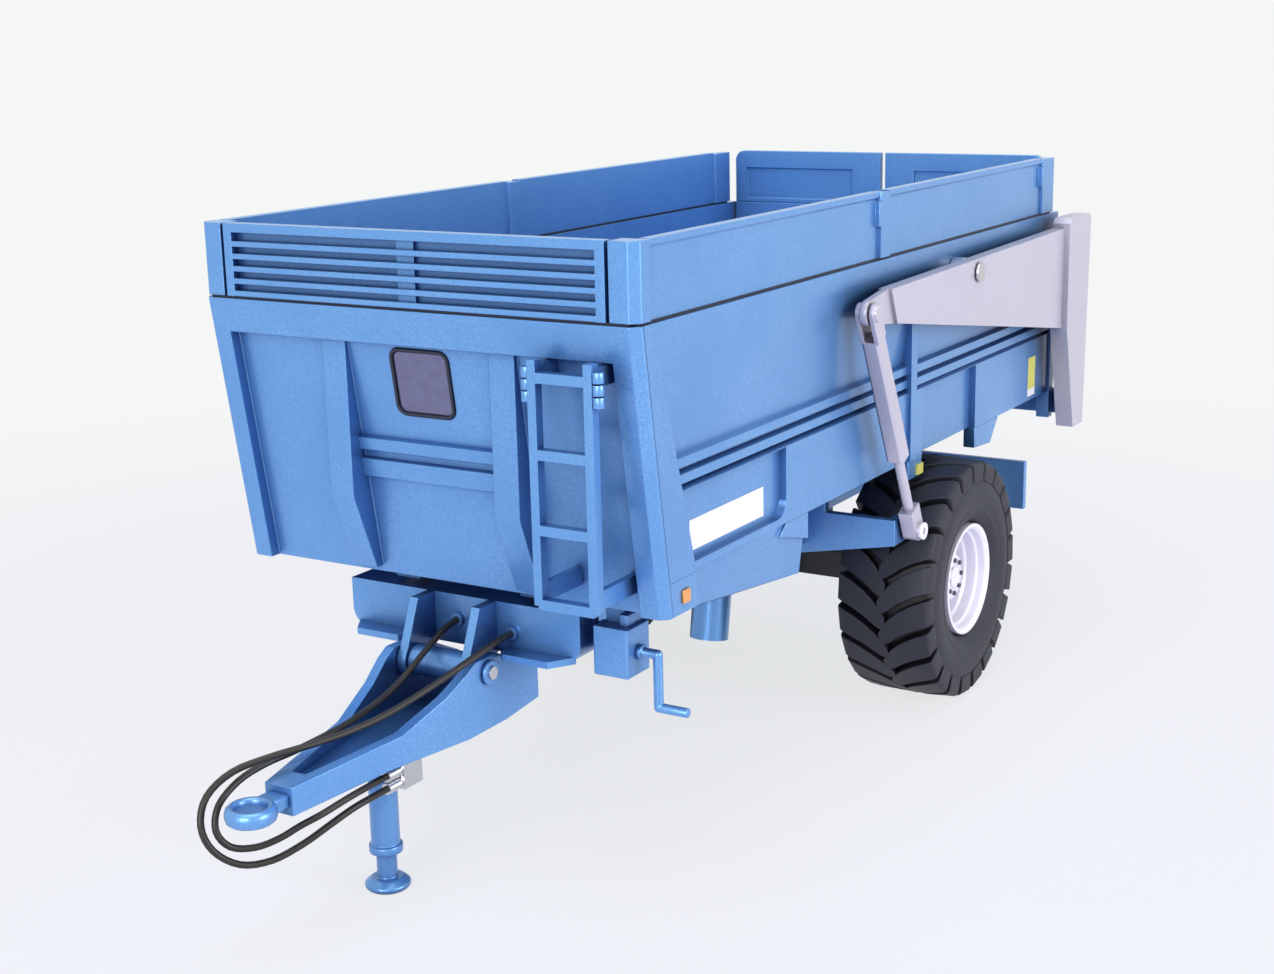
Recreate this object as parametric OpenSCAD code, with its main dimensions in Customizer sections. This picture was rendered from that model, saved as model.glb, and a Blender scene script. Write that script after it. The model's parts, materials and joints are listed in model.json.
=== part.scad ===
// Scale model of a single-axle tipping farm trailer with a lifting tailgate.
// +X points to the towing eye, +Y to the trailer's left, +Z up; the floor is z = 0.

/* [Tub] */
// Length of the tub along its top rail
tub_len = 159.5; // [145:0.5:175]
// Width of the tub over its rails
tub_w = 74; // [68:0.5:80]
// Height of the side walls
side_h = 35.5; // [33:0.5:40]
// Room between the tops of the tyres and the tub
tyre_room = 2.4; // [1.5:0.1:4]
// Drop of the front wall's foot below the side walls
front_drop = 5; // [4:0.25:6]
// Thickness of the wall sheet
wall_t = 1.6; // [1.4:0.1:2]
// Height of the rails and posts above the wall sheet
rib_h = 1; // [0.8:0.1:1.2]
// Thickness of the load floor
floor_t = 1.6; // [1.2:0.1:2.4]
// How far the front wall leans back from its top to its foot
front_lean = 6.2; // [4:0.1:8]
// Height of the band along the top of the walls
rail_h = 5; // [4:0.25:6]
// Bevel of the tub's front corners
corner_cut = 1.2; // [0.6:0.1:1.6]

/* [Side walls] */
// Length of the deep skirt ahead of the wheel arch
skirt_len = 50; // [46:0.5:54]
// Drop of the skirt from its front end to its rear end
skirt_drop = 5; // [1:0.25:6]
// How far the skirt's foot leans in
skirt_in = 1.2; // [0.4:0.1:1.4]
// Width of the flush post at the skirt's rear end
flush_w = 7.4; // [5:0.2:9]
// Depth of the pressed pockets
pocket_d = 1.2; // [0.6:0.1:1.4]
// Distance of the raised rear panel behind the tub's front edge
panel_back = 87.6; // [84:0.2:90]
// Distance of the foot behind the wheel from the tub's front edge
arch_back = 118; // [116:0.5:124]

/* [Boards] */
// Height of the boards that stand on the tub
board_h = 10.8; // [8:0.2:14]
// Thickness of the boards
board_t = 1.4; // [1.2:0.1:2]
// Seam between the tub and the boards
board_gap = 0.3; // [0.3:0.05:0.6]
// Distance of the boards' middle post behind the tub's front edge
mid_back = 76.6; // [70:0.2:84]
// Number of slats in the front board
slats = 5; // [3:1:7]

/* [Front wall] */
// Width of the window in the front wall
window_w = 10.2; // [7:0.2:12]
// Height of the window
window_h = 9.8; // [7:0.2:11]
// Width of each upright rib on the front wall
rib_w = 4.2; // [3:0.1:6]
// Distance of each rib's middle from the centre line
rib_y = 14.5; // [11:0.25:17]
// Width of the ladder
ladder_w = 10; // [8:0.25:11]
// Distance of the ladder's middle from the centre line
ladder_y = 27; // [25:0.25:28]

/* [Tailgate] */
// Thickness of the tailgate sheet
gate_t = 1.6; // [1.2:0.1:2]
// Distance of the lift arm's pivot behind the tub's front edge
pivot_back = 105.3; // [100:0.25:110]
// Drop of the lift arm's pivot below the tub's top
pivot_drop = 5.3; // [4.5:0.1:6]
// Length of the lift arm's tongue ahead of the pivot
tongue_len = 42.8; // [40:0.25:44]
// Thickness of the lift arms
arm_t = 2.3; // [2:0.1:2.6]
// Gap between the tub's rails and the lift arms
arm_gap = 2.2; // [1.8:0.1:3]
// Width of the tailgate posts along the trailer
post_w = 12.5; // [10:0.25:14]
// Diameter of the lift arm's pivot pins
arm_pin_d = 2.4; // [1.8:0.1:3]

/* [Side cylinders] */
// Width of the side cylinder's square barrel
barrel_w = 3.1; // [2.8:0.1:3.6]
// Length of the barrel from its pin to its gland
barrel_len = 28; // [26:0.25:30]
// Diameter of the side cylinder's rod
rod_d = 1.7; // [1.4:0.1:2]
// Diameter of the pins at the ends of the side cylinder
cyl_pin_d = 1.6; // [1.2:0.1:2]
// Distance of the rod's pin behind the tub's front edge
rod_back = 81.2; // [79:0.1:82]
// Drop of the rod's pin below the side walls
rod_drop = 9.9; // [8:0.1:11]

/* [Chassis] */
// Room between the chassis rails and the tub's floor
rail_gap = 7.5; // [7:0.25:9]
// Depth of the chassis rails
rail_depth = 7.5; // [6:0.25:8]
// Width of each chassis rail
rail_w = 4.5; // [4:0.25:5]
// Distance of each rail's inner face from the centre line
rail_in = 9; // [8:0.25:10]
// Width of the front cross-beam
beam_w = 41; // [38:0.5:44]
// Distance of the tipping hinge ahead of the tub's rear end
hinge_in = 19.5; // [16:0.5:22]
// Drop of the tipping hinge below the tub's floor
hinge_drop = 5.5; // [5:0.25:6]
// Diameter of the tipping hinge pin
hinge_pin_d = 2.4; // [1.8:0.1:3]
// Width of the rear light board
light_w = 75; // [60:0.5:76]
// Height of the rear light board
light_h = 9.5; // [7:0.25:10]

/* [Drawbar] */
// Distance of the towing eye's centre ahead of the tub's front edge
eye_reach = 36; // [35:0.25:38]
// Outer diameter of the towing eye
eye_d = 8.5; // [7.5:0.1:8.6]
// Bore of the towing eye
eye_bore = 4.4; // [3.6:0.1:5]
// Height of the towing eye's centre
eye_z = 21.1; // [20.6:0.1:21.4]
// Width of the drawbar at its pivot
bar_w = 16; // [15:0.25:16.5]
// Diameter of the drawbar's pivot pin
bar_pin_d = 2.4; // [1.8:0.1:3]
// Diameter of the jack's outer tube
jack_d = 4.1; // [3.8:0.1:5]
// Diameter of the jack's leg
leg_d = 2.9; // [2:0.1:3]
// Diameter of the jack's foot
foot_d = 6.5; // [5:0.1:9]
// Distance of the jack ahead of the tub's front edge
jack_x = 10; // [9:0.25:10.5]
// Diameter of the hoses
hose_d = 1.2; // [1:0.1:1.4]

/* [Wheels] */
// Diameter of the tyres over their lugs
tyre_d = 42.6; // [40:0.2:46]
// Width of the tyres
tyre_w = 17; // [14:0.25:18]
// Number of lugs on each side of a tyre
lugs = 22; // [16:1:26]
// Height of the lugs
lug_h = 1.9; // [1.2:0.1:2.4]
// Diameter of the rims
rim_d = 19.8; // [18:0.2:22]
// Distance between the middles of the tyres
track = 69.4; // [68:0.2:72]
// Distance of the axle behind the tub's front edge
axle_back = 102; // [101:0.25:104]
// Diameter of the wheel spindles
spindle_d = 3; // [2.4:0.1:4]

/* [Tipping ram] */
// Diameter of the ram's barrel
ram_d = 7; // [6:0.1:8]
// Distance of the ram's trunnion behind the tub's front edge
ram_back = 87.5; // [84:0.25:90]
// Drop of the ram's trunnion below the tub's floor
ram_drop = 11.5; // [10:0.25:12]
// Lean of the ram, bottom forward
ram_lean = 10; // [6:0.5:14]
// Length of the ram's barrel below its trunnion
ram_below = 24.5; // [20:0.25:26]
// Diameter of the ram's trunnion pins
ram_pin_d = 2.4; // [1.8:0.1:3]

/* [Fits] */
// Radial clearance of pins in their bores
fit = 0.08; // [0.05:0.01:0.15]
// Clearance between sheets that pass each other
pass = 0.3; // [0.2:0.05:0.5]

/* [Hidden] */
$fn = 48;
blue = "#5f97d6";
arm_grey = "#cdc8d7";
silver = "#c8c8cc";
black = "#38383c";
rubber = "#2a2a30";

// Small sizes that several sub-parts share
root = 0.3;
post_over = 3;
panel_set = 1.8;
post_face = 4.2;
corner_w = 3.8;
seal_w = 0.5;
knee_w = 5.9;
end_w = 2.2;
front_foot = 14.4;
tongue_t = 1.1;
tongue_drop = 6.5;
rod_stroke = 11;
beam_t = 5;
bar_wall = 1.6;
ear_t = 1.4;
ear_gap = 0.2;
touch = 0.02;

half_w = tub_w / 2;
sheet_y = half_w - rib_h;
inner_y = sheet_y - wall_t;
low_y = sheet_y + 0.4;
panel_y = sheet_y + 0.6;
side_low = tyre_d + tyre_room;
tub_top = side_low + side_h;
front_low = side_low - front_drop;
band_z = tub_top - rail_h;
floor_top = side_low + floor_t;
gate_x = -tub_len;
wall_back = gate_x + root;
front_slope = front_lean / (tub_top - front_low);
front_x = (tub_len + post_over - eye_reach - eye_d / 2) / 2;
arm_y = half_w + arm_gap;
arm_out = arm_y + arm_t;
pivot_x = -pivot_back;
pivot_z = tub_top - pivot_drop;
tongue_x = pivot_x + tongue_len;
tongue_z = tub_top - tongue_drop;
rod_x = -rod_back;
rod_y = arm_y + arm_t / 2;
rod_z = side_low - rod_drop;
cyl_turn = atan2(rod_x - tongue_x, tongue_z - rod_z);
cyl_len = norm([rod_x - tongue_x, tongue_z - rod_z]);
axle_x = -axle_back;
axle_z = tyre_d / 2;
hinge_x = gate_x + hinge_in;
hinge_z = side_low - hinge_drop;
rail_out = rail_in + rail_w;
rail_top = side_low - rail_gap;
rail_low = rail_top - rail_depth;
beam_x = -10;
bar_pin_x = beam_x + 5;
bar_pin_z = rail_low - 1.4;
bar_low = eye_z - 1;
nose_x = eye_reach - eye_d / 2 - 1;
light_x = hinge_x - 2.6;
board_low = tub_top + board_gap;
board_top = tub_top + board_h;
board_y = half_w - 0.6;
ram_x = -ram_back;
ram_z = side_low - ram_drop;
ram_reach = (ram_drop - 0.4) / cos(ram_lean);
ram_wall = 0.8;
stage_d = ram_d - 2 * ram_wall;
ram_rod_d = stage_d - 2 * ram_wall;

// Hose routes: out of the front beam, along the drawbar, round the eye and back to the couplers
hose_left_start = [-9.4, 9, rail_low + 3.2];
hose_right_start = [-9.4, -0.6, rail_low + 3.9];
hose_left_end = [14.6, 4.5, 17.3];
hose_right_end = [14.6, 4.5, 19.1];
hose_left_route = [
    hose_left_start, [-6.6, 8.9, 33], [-3.4, 8.3, 32.2], [2.2, 6.8, 30.4], [8.6, 5.2, 28.6], [14, 3.8, 27.4],
    [19, 2.2, 26.7], [24, 0.2, 26.3], [29, -2.6, 25.8], [33.5, -5.2, 24.8], [37, -6.6, 22.4], [38.6, -6.4, 19],
    [38, -5.2, 15.6], [35.6, -3, 13.2], [32, -0.8, 12.8], [28, 1.2, 14], [24.6, 2.8, 15.6], [21, 4, 16.9],
    [17.6, 4.5, 17.3], hose_left_end];
hose_right_route = [
    hose_right_start, [-6.2, -0.6, 33.2], [-1.4, -0.6, 31.2], [4.4, -0.8, 28.4], [9, -1, 27], [14, -1.2, 26.1],
    [19, -1.6, 25.6], [24, -2.8, 24.9], [28.5, -4.2, 24.3], [32.5, -5.2, 23.2], [36, -5.6, 21],
    [37.2, -5.2, 18], [36, -4, 15.6], [33.4, -2.2, 14.9], [30.8, -0.4, 15.5], [28.6, 1.4, 16.8],
    [26, 3, 17.8], [22, 4, 18.7], [18, 4.5, 19.1], hose_right_end];

// The front face of the tub at a height
function front_at(z) = -front_slope * (tub_top - z);

// A direction of length one
function unit(v) = v / norm(v);

// Everything is drawn from the tub's front top edge and then centred
module placed() translate([front_x, 0, 0]) children();

// An outline in X and Z, extruded from one Y to another
module along_y(y0, y1) translate([0, y1, 0]) rotate([90, 0, 0]) linear_extrude(height = y1 - y0) children();
module slab(points, y0, y1) along_y(y0, y1) polygon(points);

// An outline in Y and Z, extruded from one X to another
module along_x(x0, x1) translate([x0, 0, 0]) rotate([90, 0, 90]) linear_extrude(height = x1 - x0) children();

// A box from one corner to the other
module block(low, high) translate(low) cube(high - low);

// A round bar along Y
module bar_y(d, x, z, y0, y1) translate([x, y0, z]) rotate([-90, 0, 0]) cylinder(h = y1 - y0, d = d);

// The same shape on the other side
module on_right() mirror([0, 1, 0]) children();

// The same shape on both sides
module both() {
    children();
    on_right() children();
}

// A rectangle with round corners
module soft_rect(w, h, r) {
    square([w - 2 * r, h], center = true);
    square([w, h - 2 * r], center = true);
    for (x = [-1, 1], y = [-1, 1]) translate([x * (w / 2 - r), y * (h / 2 - r)]) circle(r);
}

// A tube swept along a route, with eight sides
module swept_tube(route, d) {
    sides = 8;
    last = len(route) - 1;
    heading = [for (i = [0:last]) unit(route[min(i + 1, last)] - route[max(i - 1, 0)])];
    across = [for (h = heading) unit(cross(h, [0, 1, 0]))];
    up = [for (i = [0:last]) cross(heading[i], across[i])];
    ring_points = [for (i = [0:last], k = [0:sides - 1])
        route[i] + d / 2 * (cos(360 * k / sides) * across[i] + sin(360 * k / sides) * up[i])];
    walls = [for (i = [0:last - 1], k = [0:sides - 1])
        [i * sides + k, (i + 1) * sides + k, (i + 1) * sides + (k + 1) % sides, i * sides + (k + 1) % sides]];
    caps = [[for (k = [0:sides - 1]) k], [for (k = [sides - 1:-1:0]) last * sides + k]];
    polyhedron(points = ring_points, faces = concat(walls, caps));
}

module tub_floor() color(blue) placed()
    slab([[front_at(side_low) - panel_set - wall_t, side_low], [gate_x + gate_t + pass, side_low],
          [gate_x + gate_t + pass, floor_top], [front_at(floor_top) - panel_set - wall_t, floor_top]],
         -inner_y, inner_y);

module tub_runners() color(blue) placed() both()
    block([hinge_x + 6, rail_in, rail_top + 2 * pass], [beam_x - 2, rail_out, side_low]);

// A strip of the front wall between two heights, from a depth behind its face to another
module front_strip(low, high, y0, y1, face, back)
    slab([[front_at(high) - face, high], [front_at(high) - back, high],
          [front_at(low) - back, low], [front_at(low) - face, low]], y0, y1);

module front_rib() {
    knee_z = tub_top - 28;
    foot_z = front_low + 1;
    head_z = band_z + root;
    back = panel_set + root;
    nose = 2;
    slab([[-nose, head_z], [front_at(head_z) - back, head_z], [front_at(foot_z) - back, foot_z],
          [front_at(foot_z) - 0.4, foot_z], [-nose, knee_z]], rib_y - rib_w / 2, rib_y + rib_w / 2);
}

module front_bead(z, h) {
    proud = 0.8;
    back = panel_set + root;
    slab([[front_at(z) - back, z], [front_at(z + h) - back, z + h],
          [front_at(z + h / 2) - panel_set + proud, z + h / 2]],
         -rib_y + rib_w / 2 - root, rib_y - rib_w / 2 + root);
}

// The room outside the bevel on the tub's front corner
module corner_room()
    translate([0, half_w, tub_top]) rotate([0, atan(front_slope), 0]) translate([0, 0, -tub_top])
        linear_extrude(height = 2 * tub_top) polygon([[-corner_cut - 1, 1], [1, -corner_cut - 1], [2, 2]]);

module tub_front() color(blue) placed() difference() {
    back = panel_set + root;
    bead_drop = 24.2;
    bead_h = 2.2;
    union() {
        front_strip(front_low, tub_top, -inner_y, inner_y, panel_set, panel_set + wall_t);
        front_strip(band_z, tub_top, -half_w + root, half_w - root, 0, back);
        both() front_strip(front_low, tub_top, half_w - post_face, half_w, 0, back);
        both() front_rib();
        front_bead(tub_top - bead_drop, bead_h);
        front_bead(tub_top - bead_drop + 1.3 * bead_h, bead_h);
    }
    window_hole(0);
    both() side_wall_space();
    both() corner_room();
}

// The room that the side wall takes behind the corner post
module side_wall_space() {
    over = 1;
    deep = 24;
    slab([[front_at(tub_top + over) - panel_set, tub_top + over], [-deep, tub_top + over],
          [-deep, front_low - over], [front_at(front_low - over) - panel_set, front_low - over]],
         inner_y, half_w + over);
}

// The window's outline through the front wall, grown by a margin
module window_hole(margin) {
    window_drop = 10.6;
    deep = 8;
    corner_r = 1.6;
    translate([0, 0, tub_top - window_drop]) along_x(-deep, 4)
        soft_rect(window_w + 2 * margin, window_h + 2 * margin, corner_r + margin);
}

module window_glass() color("#3d3a4a") placed() intersection() {
    window_hole(-seal_w);
    front_strip(front_low, tub_top, -inner_y, inner_y, panel_set + 0.1, panel_set + 0.8);
}

module window_seal() color("#1c1c20") placed() intersection() {
    difference() {
        window_hole(0);
        window_hole(-seal_w);
    }
    front_strip(front_low, tub_top, -inner_y, inner_y, panel_set - 0.3, panel_set + wall_t);
}

// The outer outline of the pressed side wall in Y and Z, pushed out by a step
module wall_section(out) {
    crease_y = sheet_y - 0.8 + out;
    bead_y = sheet_y + 0.2 + out;
    bead_z = tub_top - 23.3;
    bead_pitch = 2.3;
    face_y = max(low_y, sheet_y + out);
    polygon([[inner_y, side_low], [face_y, side_low], [face_y, bead_z - 0.5],
             for (z = [bead_z, bead_z + bead_pitch])
                 each [[crease_y, z], [bead_y, z + 0.4], [bead_y, z + 1.7], [crease_y, z + 2.1]],
             [half_w, band_z], [half_w, tub_top], [inner_y, tub_top]]);
}

// The pressed pocket behind the front post, with a round lower rear corner
module pocket_outline(post_mid) {
    top = tub_top - 23.9;
    low = side_low + 1.1;
    back = -skirt_len + flush_w;
    r = 2.6;
    polygon([[-post_mid - 0.4, top], [-front_foot - 0.4, low], [back + r, low], [back, low + r], [back, top]]);
    translate([back + r, low + r]) circle(r);
}

module side_wall() {
    post_top = 5.6;
    post_mid = 10.9;
    knee_z = tub_top - 23.5;
    over = 2;
    difference() {
        intersection() {
            slab([[front_at(tub_top) - panel_set, tub_top], [wall_back, tub_top], [wall_back, side_low],
                  [front_at(side_low) - panel_set, side_low]], inner_y, half_w);
            union() {
                along_x(-panel_back - root, over) wall_section(0);
                along_x(wall_back - over, -panel_back) wall_section(panel_y - sheet_y);
                slab([[over, tub_top], [-post_top, tub_top], [-post_top, band_z], [-post_mid, knee_z],
                      [-front_foot, side_low], [over, side_low]], inner_y, half_w);
                block([-panel_back - 2.4, inner_y, side_low], [-panel_back, half_w, band_z + root]);
            }
        }
        along_y(low_y - pocket_d, half_w + 1) pocket_outline(post_mid);
        block([-arch_back, panel_y - pocket_d, side_low - 1],
              [-panel_back - knee_w, half_w + 1, tub_top - 23.9]);
    }
    block([wall_back, inner_y, side_low], [wall_back + end_w, half_w, band_z + root]);
}

// The feet of the side wall: ahead of the wheel, behind it and at the rear corner
module wall_feet() {
    knee_h = 3.4;
    arch_h = 4.4;
    block([-panel_back - knee_w, inner_y, side_low - knee_h], [-panel_back, panel_y, side_low]);
    slab([[-arch_back, side_low], [-arch_back, side_low - arch_h + 0.6], [-arch_back - 8, side_low - arch_h],
          [-arch_back - 12, side_low]], inner_y, panel_y);
    block([wall_back, inner_y, front_low - 0.4], [wall_back + end_w, half_w, side_low]);
}

module tub_side_left() color(blue) placed() side_wall();
module tub_side_right() color(blue) placed() on_right() side_wall();

module skirt() {
    foot_x = front_at(front_low) - panel_set;
    rear_z = front_low - skirt_drop;
    flush_low = side_low - 3.2;
    deep = 2;
    intersection() {
        slab([[front_at(side_low) - panel_set - wall_t, side_low], [foot_x - wall_t, front_low],
              [-skirt_len, rear_z], [-skirt_len, side_low]], inner_y - deep, half_w);
        along_x(-skirt_len - 1, 0)
            polygon([[inner_y, side_low], [sheet_y, side_low], [sheet_y - skirt_in, rear_z],
                     [inner_y - skirt_in, rear_z]]);
    }
    slab([[front_at(side_low) - panel_set, side_low], [foot_x, front_low], [-front_foot - 0.8, front_low],
          [-front_foot, side_low]], inner_y, half_w);
    slab([[-skirt_len, side_low], [-skirt_len, flush_low - 1], [-skirt_len + flush_w + 2, flush_low + 1.4],
          [-skirt_len + flush_w, side_low]], inner_y, low_y);
}

module skirt_left() color(blue) placed() {
    skirt();
    wall_feet();
}
module skirt_right() color(blue) placed() on_right() {
    skirt();
    wall_feet();
}

module tipping_lugs() color(blue) placed() both() difference() {
    lug_y = rail_out + 0.5;
    lug_t = 2;
    lug_r = hinge_pin_d / 2 + 1.3;
    union() {
        bar_y(2 * lug_r, hinge_x, hinge_z, lug_y, lug_y + lug_t);
        block([hinge_x - lug_r, lug_y, hinge_z], [hinge_x + lug_r, lug_y + lug_t, side_low]);
    }
    bar_y(hinge_pin_d + 2 * fit, hinge_x, hinge_z, lug_y - 1, lug_y + lug_t + 1);
}

module cylinder_bracket() {
    plate_x = rod_x + 2.2;
    plate_t = 1.6;
    root_y = 20;
    root_w = 6;
    root_low = rod_z - 5.7;
    tip_y = arm_y - 0.5;
    tip_t = 1.6;
    lug_r = 2.2;
    hole_d = cyl_pin_d + 1;
    difference() {
        union() {
            along_x(plate_x, plate_x + plate_t)
                polygon([[root_y, side_low], [root_y, root_low], [tip_y, rod_z - lug_r], [tip_y, rod_z + lug_r],
                         [root_y + root_w, rod_z + lug_r], [root_y + root_w, side_low]]);
            bar_y(2 * lug_r, rod_x, rod_z, tip_y - tip_t, tip_y);
            block([rod_x, tip_y - tip_t, rod_z - lug_r], [plate_x, tip_y, rod_z + lug_r]);
        }
        bar_y(hole_d, rod_x, rod_z, tip_y - 2 * tip_t, tip_y + 1);
    }
    block([plate_x + plate_t, root_y, root_low + 1.6], [plate_x + plate_t + 8, root_y + 1.6, side_low]);
}

module cylinder_bracket_left() color(blue) placed() cylinder_bracket();
module cylinder_bracket_right() color(blue) placed() on_right() cylinder_bracket();

module arm_pins() color(silver) placed() both() {
    bar_y(2 * arm_pin_d, pivot_x, pivot_z, half_w - 0.001, arm_y - 0.1);
    bar_y(arm_pin_d, pivot_x, pivot_z, arm_y - 0.2, arm_out + 0.2);
    bar_y(arm_pin_d + 1, pivot_x, pivot_z, arm_out + 0.15, arm_out + 0.7);
}

module ladder() color(blue) placed() {
    x0 = 1.4;
    x1 = 3;
    z0 = tub_top - 37.7;
    z1 = tub_top - 4.6;
    stile = 1.3;
    rung_h = 1.4;
    rung_pitch = 10.2;
    rung_top = z1 - 1.6;
    knuckle_d = 1.6;
    knuckle_h = 1.4;
    for (s = [-1, 1]) {
        y = ladder_y + s * (ladder_w - stile) / 2;
        hinge_y = ladder_y + s * (ladder_w + knuckle_d) / 2 - s * root;
        block([x0, y - stile / 2, z0], [x1, y + stile / 2, z1]);
        for (z = [rung_top + 1, rung_top - 2.8 * rung_pitch])
            block([front_at(z) - panel_set - 0.1, y - 0.5, z - 2.6], [x0 + 0.1, y + 0.5, z]);
        translate([x0 + knuckle_d / 2, hinge_y, 0]) for (n = [0:2])
            translate([0, 0, rung_top - 4 + 1.15 * knuckle_h * n]) cylinder(h = knuckle_h, d = knuckle_d);
    }
    for (n = [0:3])
        block([x0, ladder_y - ladder_w / 2 + stile / 2, rung_top - rung_pitch * n - rung_h],
              [x1, ladder_y + ladder_w / 2 - stile / 2, rung_top - rung_pitch * n]);
}

module front_louvre() color(blue) placed() {
    face = -0.2;
    rail = 1.9;
    stile = 2;
    strap = 3;
    seam = 0.5;
    edge = half_w - post_face - seam;
    sheet_t = 0.9;
    pitch = (board_h - board_gap - rail) / slats;
    both() translate([0, 0, board_low]) linear_extrude(height = board_h - board_gap)
        polygon([[face, half_w - post_face], [face, half_w - corner_cut], [face - corner_cut, half_w],
                 [-corner_w, half_w], [-corner_w, half_w - post_face]]);
    block([face - 2 * sheet_t, -edge, board_top - rail], [face, edge, board_top]);
    both() block([face - 2 * sheet_t, edge - stile, board_low], [face, edge, board_top - rail]);
    block([face - 2 * sheet_t, -edge, board_low], [face - sheet_t, edge, board_top - rail]);
    block([face - sheet_t - 0.1, -strap / 2, board_low], [face, strap / 2, board_top - rail]);
    for (n = [0:slats - 1]) {
        z = board_low + n * pitch;
        slab([[face - sheet_t - 0.1, z + 0.1], [face - 0.1, z + 0.2], [face - 0.1, z + 0.55 * pitch],
              [face - sheet_t - 0.1, z + 0.85 * pitch]], -edge + stile - root, edge - stile + root);
    }
}

module side_board() {
    lip = 0.3;
    lip_h = 0.6;
    seam = 0.4;
    mid_w = 3.3;
    tail_w = 6;
    latch_w = 1.4;
    latch_h = 3.9;
    latch_low = board_low + 5.1;
    inner = board_y - board_t;
    mid_front = -mid_back + mid_w / 2;
    mid_rear = -mid_back - mid_w / 2;
    end_x = wall_back + 3;
    for (span = [[mid_front, -corner_w - seam], [end_x + tail_w, mid_rear - seam]])
        along_x(span[0], span[1])
            polygon([[inner, board_low], [board_y, board_low], [board_y, board_top - 2 * lip_h],
                     [board_y + lip, board_top - 1.4 * lip_h], [board_y + lip, board_top], [inner, board_top]]);
    block([mid_rear, inner - 0.5, board_low], [mid_front + root, half_w, board_top - 0.2]);
    block([end_x, inner - 0.5, board_low], [end_x + tail_w + root, half_w - 0.1, board_top - 0.2]);
    for (x = [mid_front, end_x + tail_w])
        block([x, board_y - root, latch_low], [x + latch_w, half_w + 0.2, latch_low + latch_h]);
}

module side_boards_left() color(blue) placed() side_board();
module side_boards_right() color(blue) placed() on_right() side_board();

module reflectors() color("orange") placed() both() {
    middle = -11.2;
    size = 1.9;
    z = front_low + 2.4;
    block([middle - size / 2, half_w, z - size / 2], [middle + size / 2, half_w + 0.4, z + size / 2]);
}

module tailgate_panel() color(blue) placed() {
    edge = inner_y - pass;
    stay_w = 3;
    stay_t = 0.8;
    block([gate_x, -edge, side_low], [gate_x + gate_t, edge, tub_top]);
    for (n = [-1.5:1:1.5])
        block([gate_x - stay_t, n * edge / 2.1 - stay_w / 2, floor_top],
              [gate_x, n * edge / 2.1 + stay_w / 2, tub_top - 23]);
}

module tailgate_beams() color(blue) placed()
    for (z = [front_low, tub_top - 22])
        block([gate_x - post_over + 0.4, -arm_y, z], [gate_x - 0.8, arm_y, z + 5]);

module lift_arm() {
    back = gate_x - post_over;
    front = back + post_w;
    mid = (arm_y + arm_out) / 2;
    root_x = tongue_x - 6.4;
    root_top = tub_top - 3.6;
    root_low = tub_top - 9.3;
    heel = root_x - 2.3;
    arm_top = tub_top - 2.3;
    arm_low = tub_top - 21.5;
    top = tub_top - 0.4;
    foot = front_low - 1.5;
    bevel = 1;
    tongue_r = cyl_pin_d / 2 + 1.2;
    difference() {
        union() {
            slab([[root_x, root_top], [heel, root_low], [front, arm_low], [back + 2, arm_low],
                  [back + 2, arm_top], [front, arm_top]], arm_y, arm_out);
            slab([[back, top - bevel], [back + bevel, top], [front - bevel, top], [front, top - bevel],
                  [front, arm_low], [back + 7, foot], [back + 1.2, foot]], arm_y, arm_out + 1.1);
            slab([[root_x, root_top], [tongue_x, tongue_z + tongue_r], [tongue_x, tongue_z - tongue_r],
                  [heel, root_low]], mid - tongue_t / 2, mid + tongue_t / 2);
            bar_y(2 * tongue_r, tongue_x, tongue_z, mid - tongue_t / 2, mid + tongue_t / 2);
        }
        bar_y(arm_pin_d + 2 * fit, pivot_x, pivot_z, arm_y - 1, arm_out + 1);
        bar_y(cyl_pin_d + 2 * fit, tongue_x, tongue_z, arm_y - 1, arm_out + 1);
    }
}

module lift_arm_left() color(arm_grey) placed() lift_arm();
module lift_arm_right() color(arm_grey) placed() on_right() lift_arm();

module rear_boards() color(blue) placed() both() difference() {
    inside = 0.5;
    edge = inner_y - pass;
    r = 2;
    recess = 0.5;
    along_x(gate_x, gate_x + board_t) {
        translate([inside, tub_top]) square([edge - inside, board_h - r]);
        translate([inside, tub_top]) square([edge - inside - r, board_h]);
        translate([edge - r, board_top - r]) circle(r);
    }
    block([gate_x + board_t - recess, inside + 6.4, tub_top + 1],
          [gate_x + board_t + 1, edge - 2.5, board_top - 3.6]);
}

// Turns a shape drawn down from the tongue's pin onto the side cylinder's line
module on_cylinder()
    translate([tongue_x, rod_y, tongue_z]) rotate([0, 180 - cyl_turn, 0]) children();

// A square bar along Z with bevelled edges
module square_bar(w, low, high) {
    bevel = 0.5;
    h = w / 2;
    translate([0, 0, low]) linear_extrude(height = high - low)
        polygon([[-h, -h + bevel], [-h + bevel, -h], [h - bevel, -h], [h, -h + bevel],
                 [h, h - bevel], [h - bevel, h], [-h + bevel, h], [-h, h - bevel]]);
}

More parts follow.
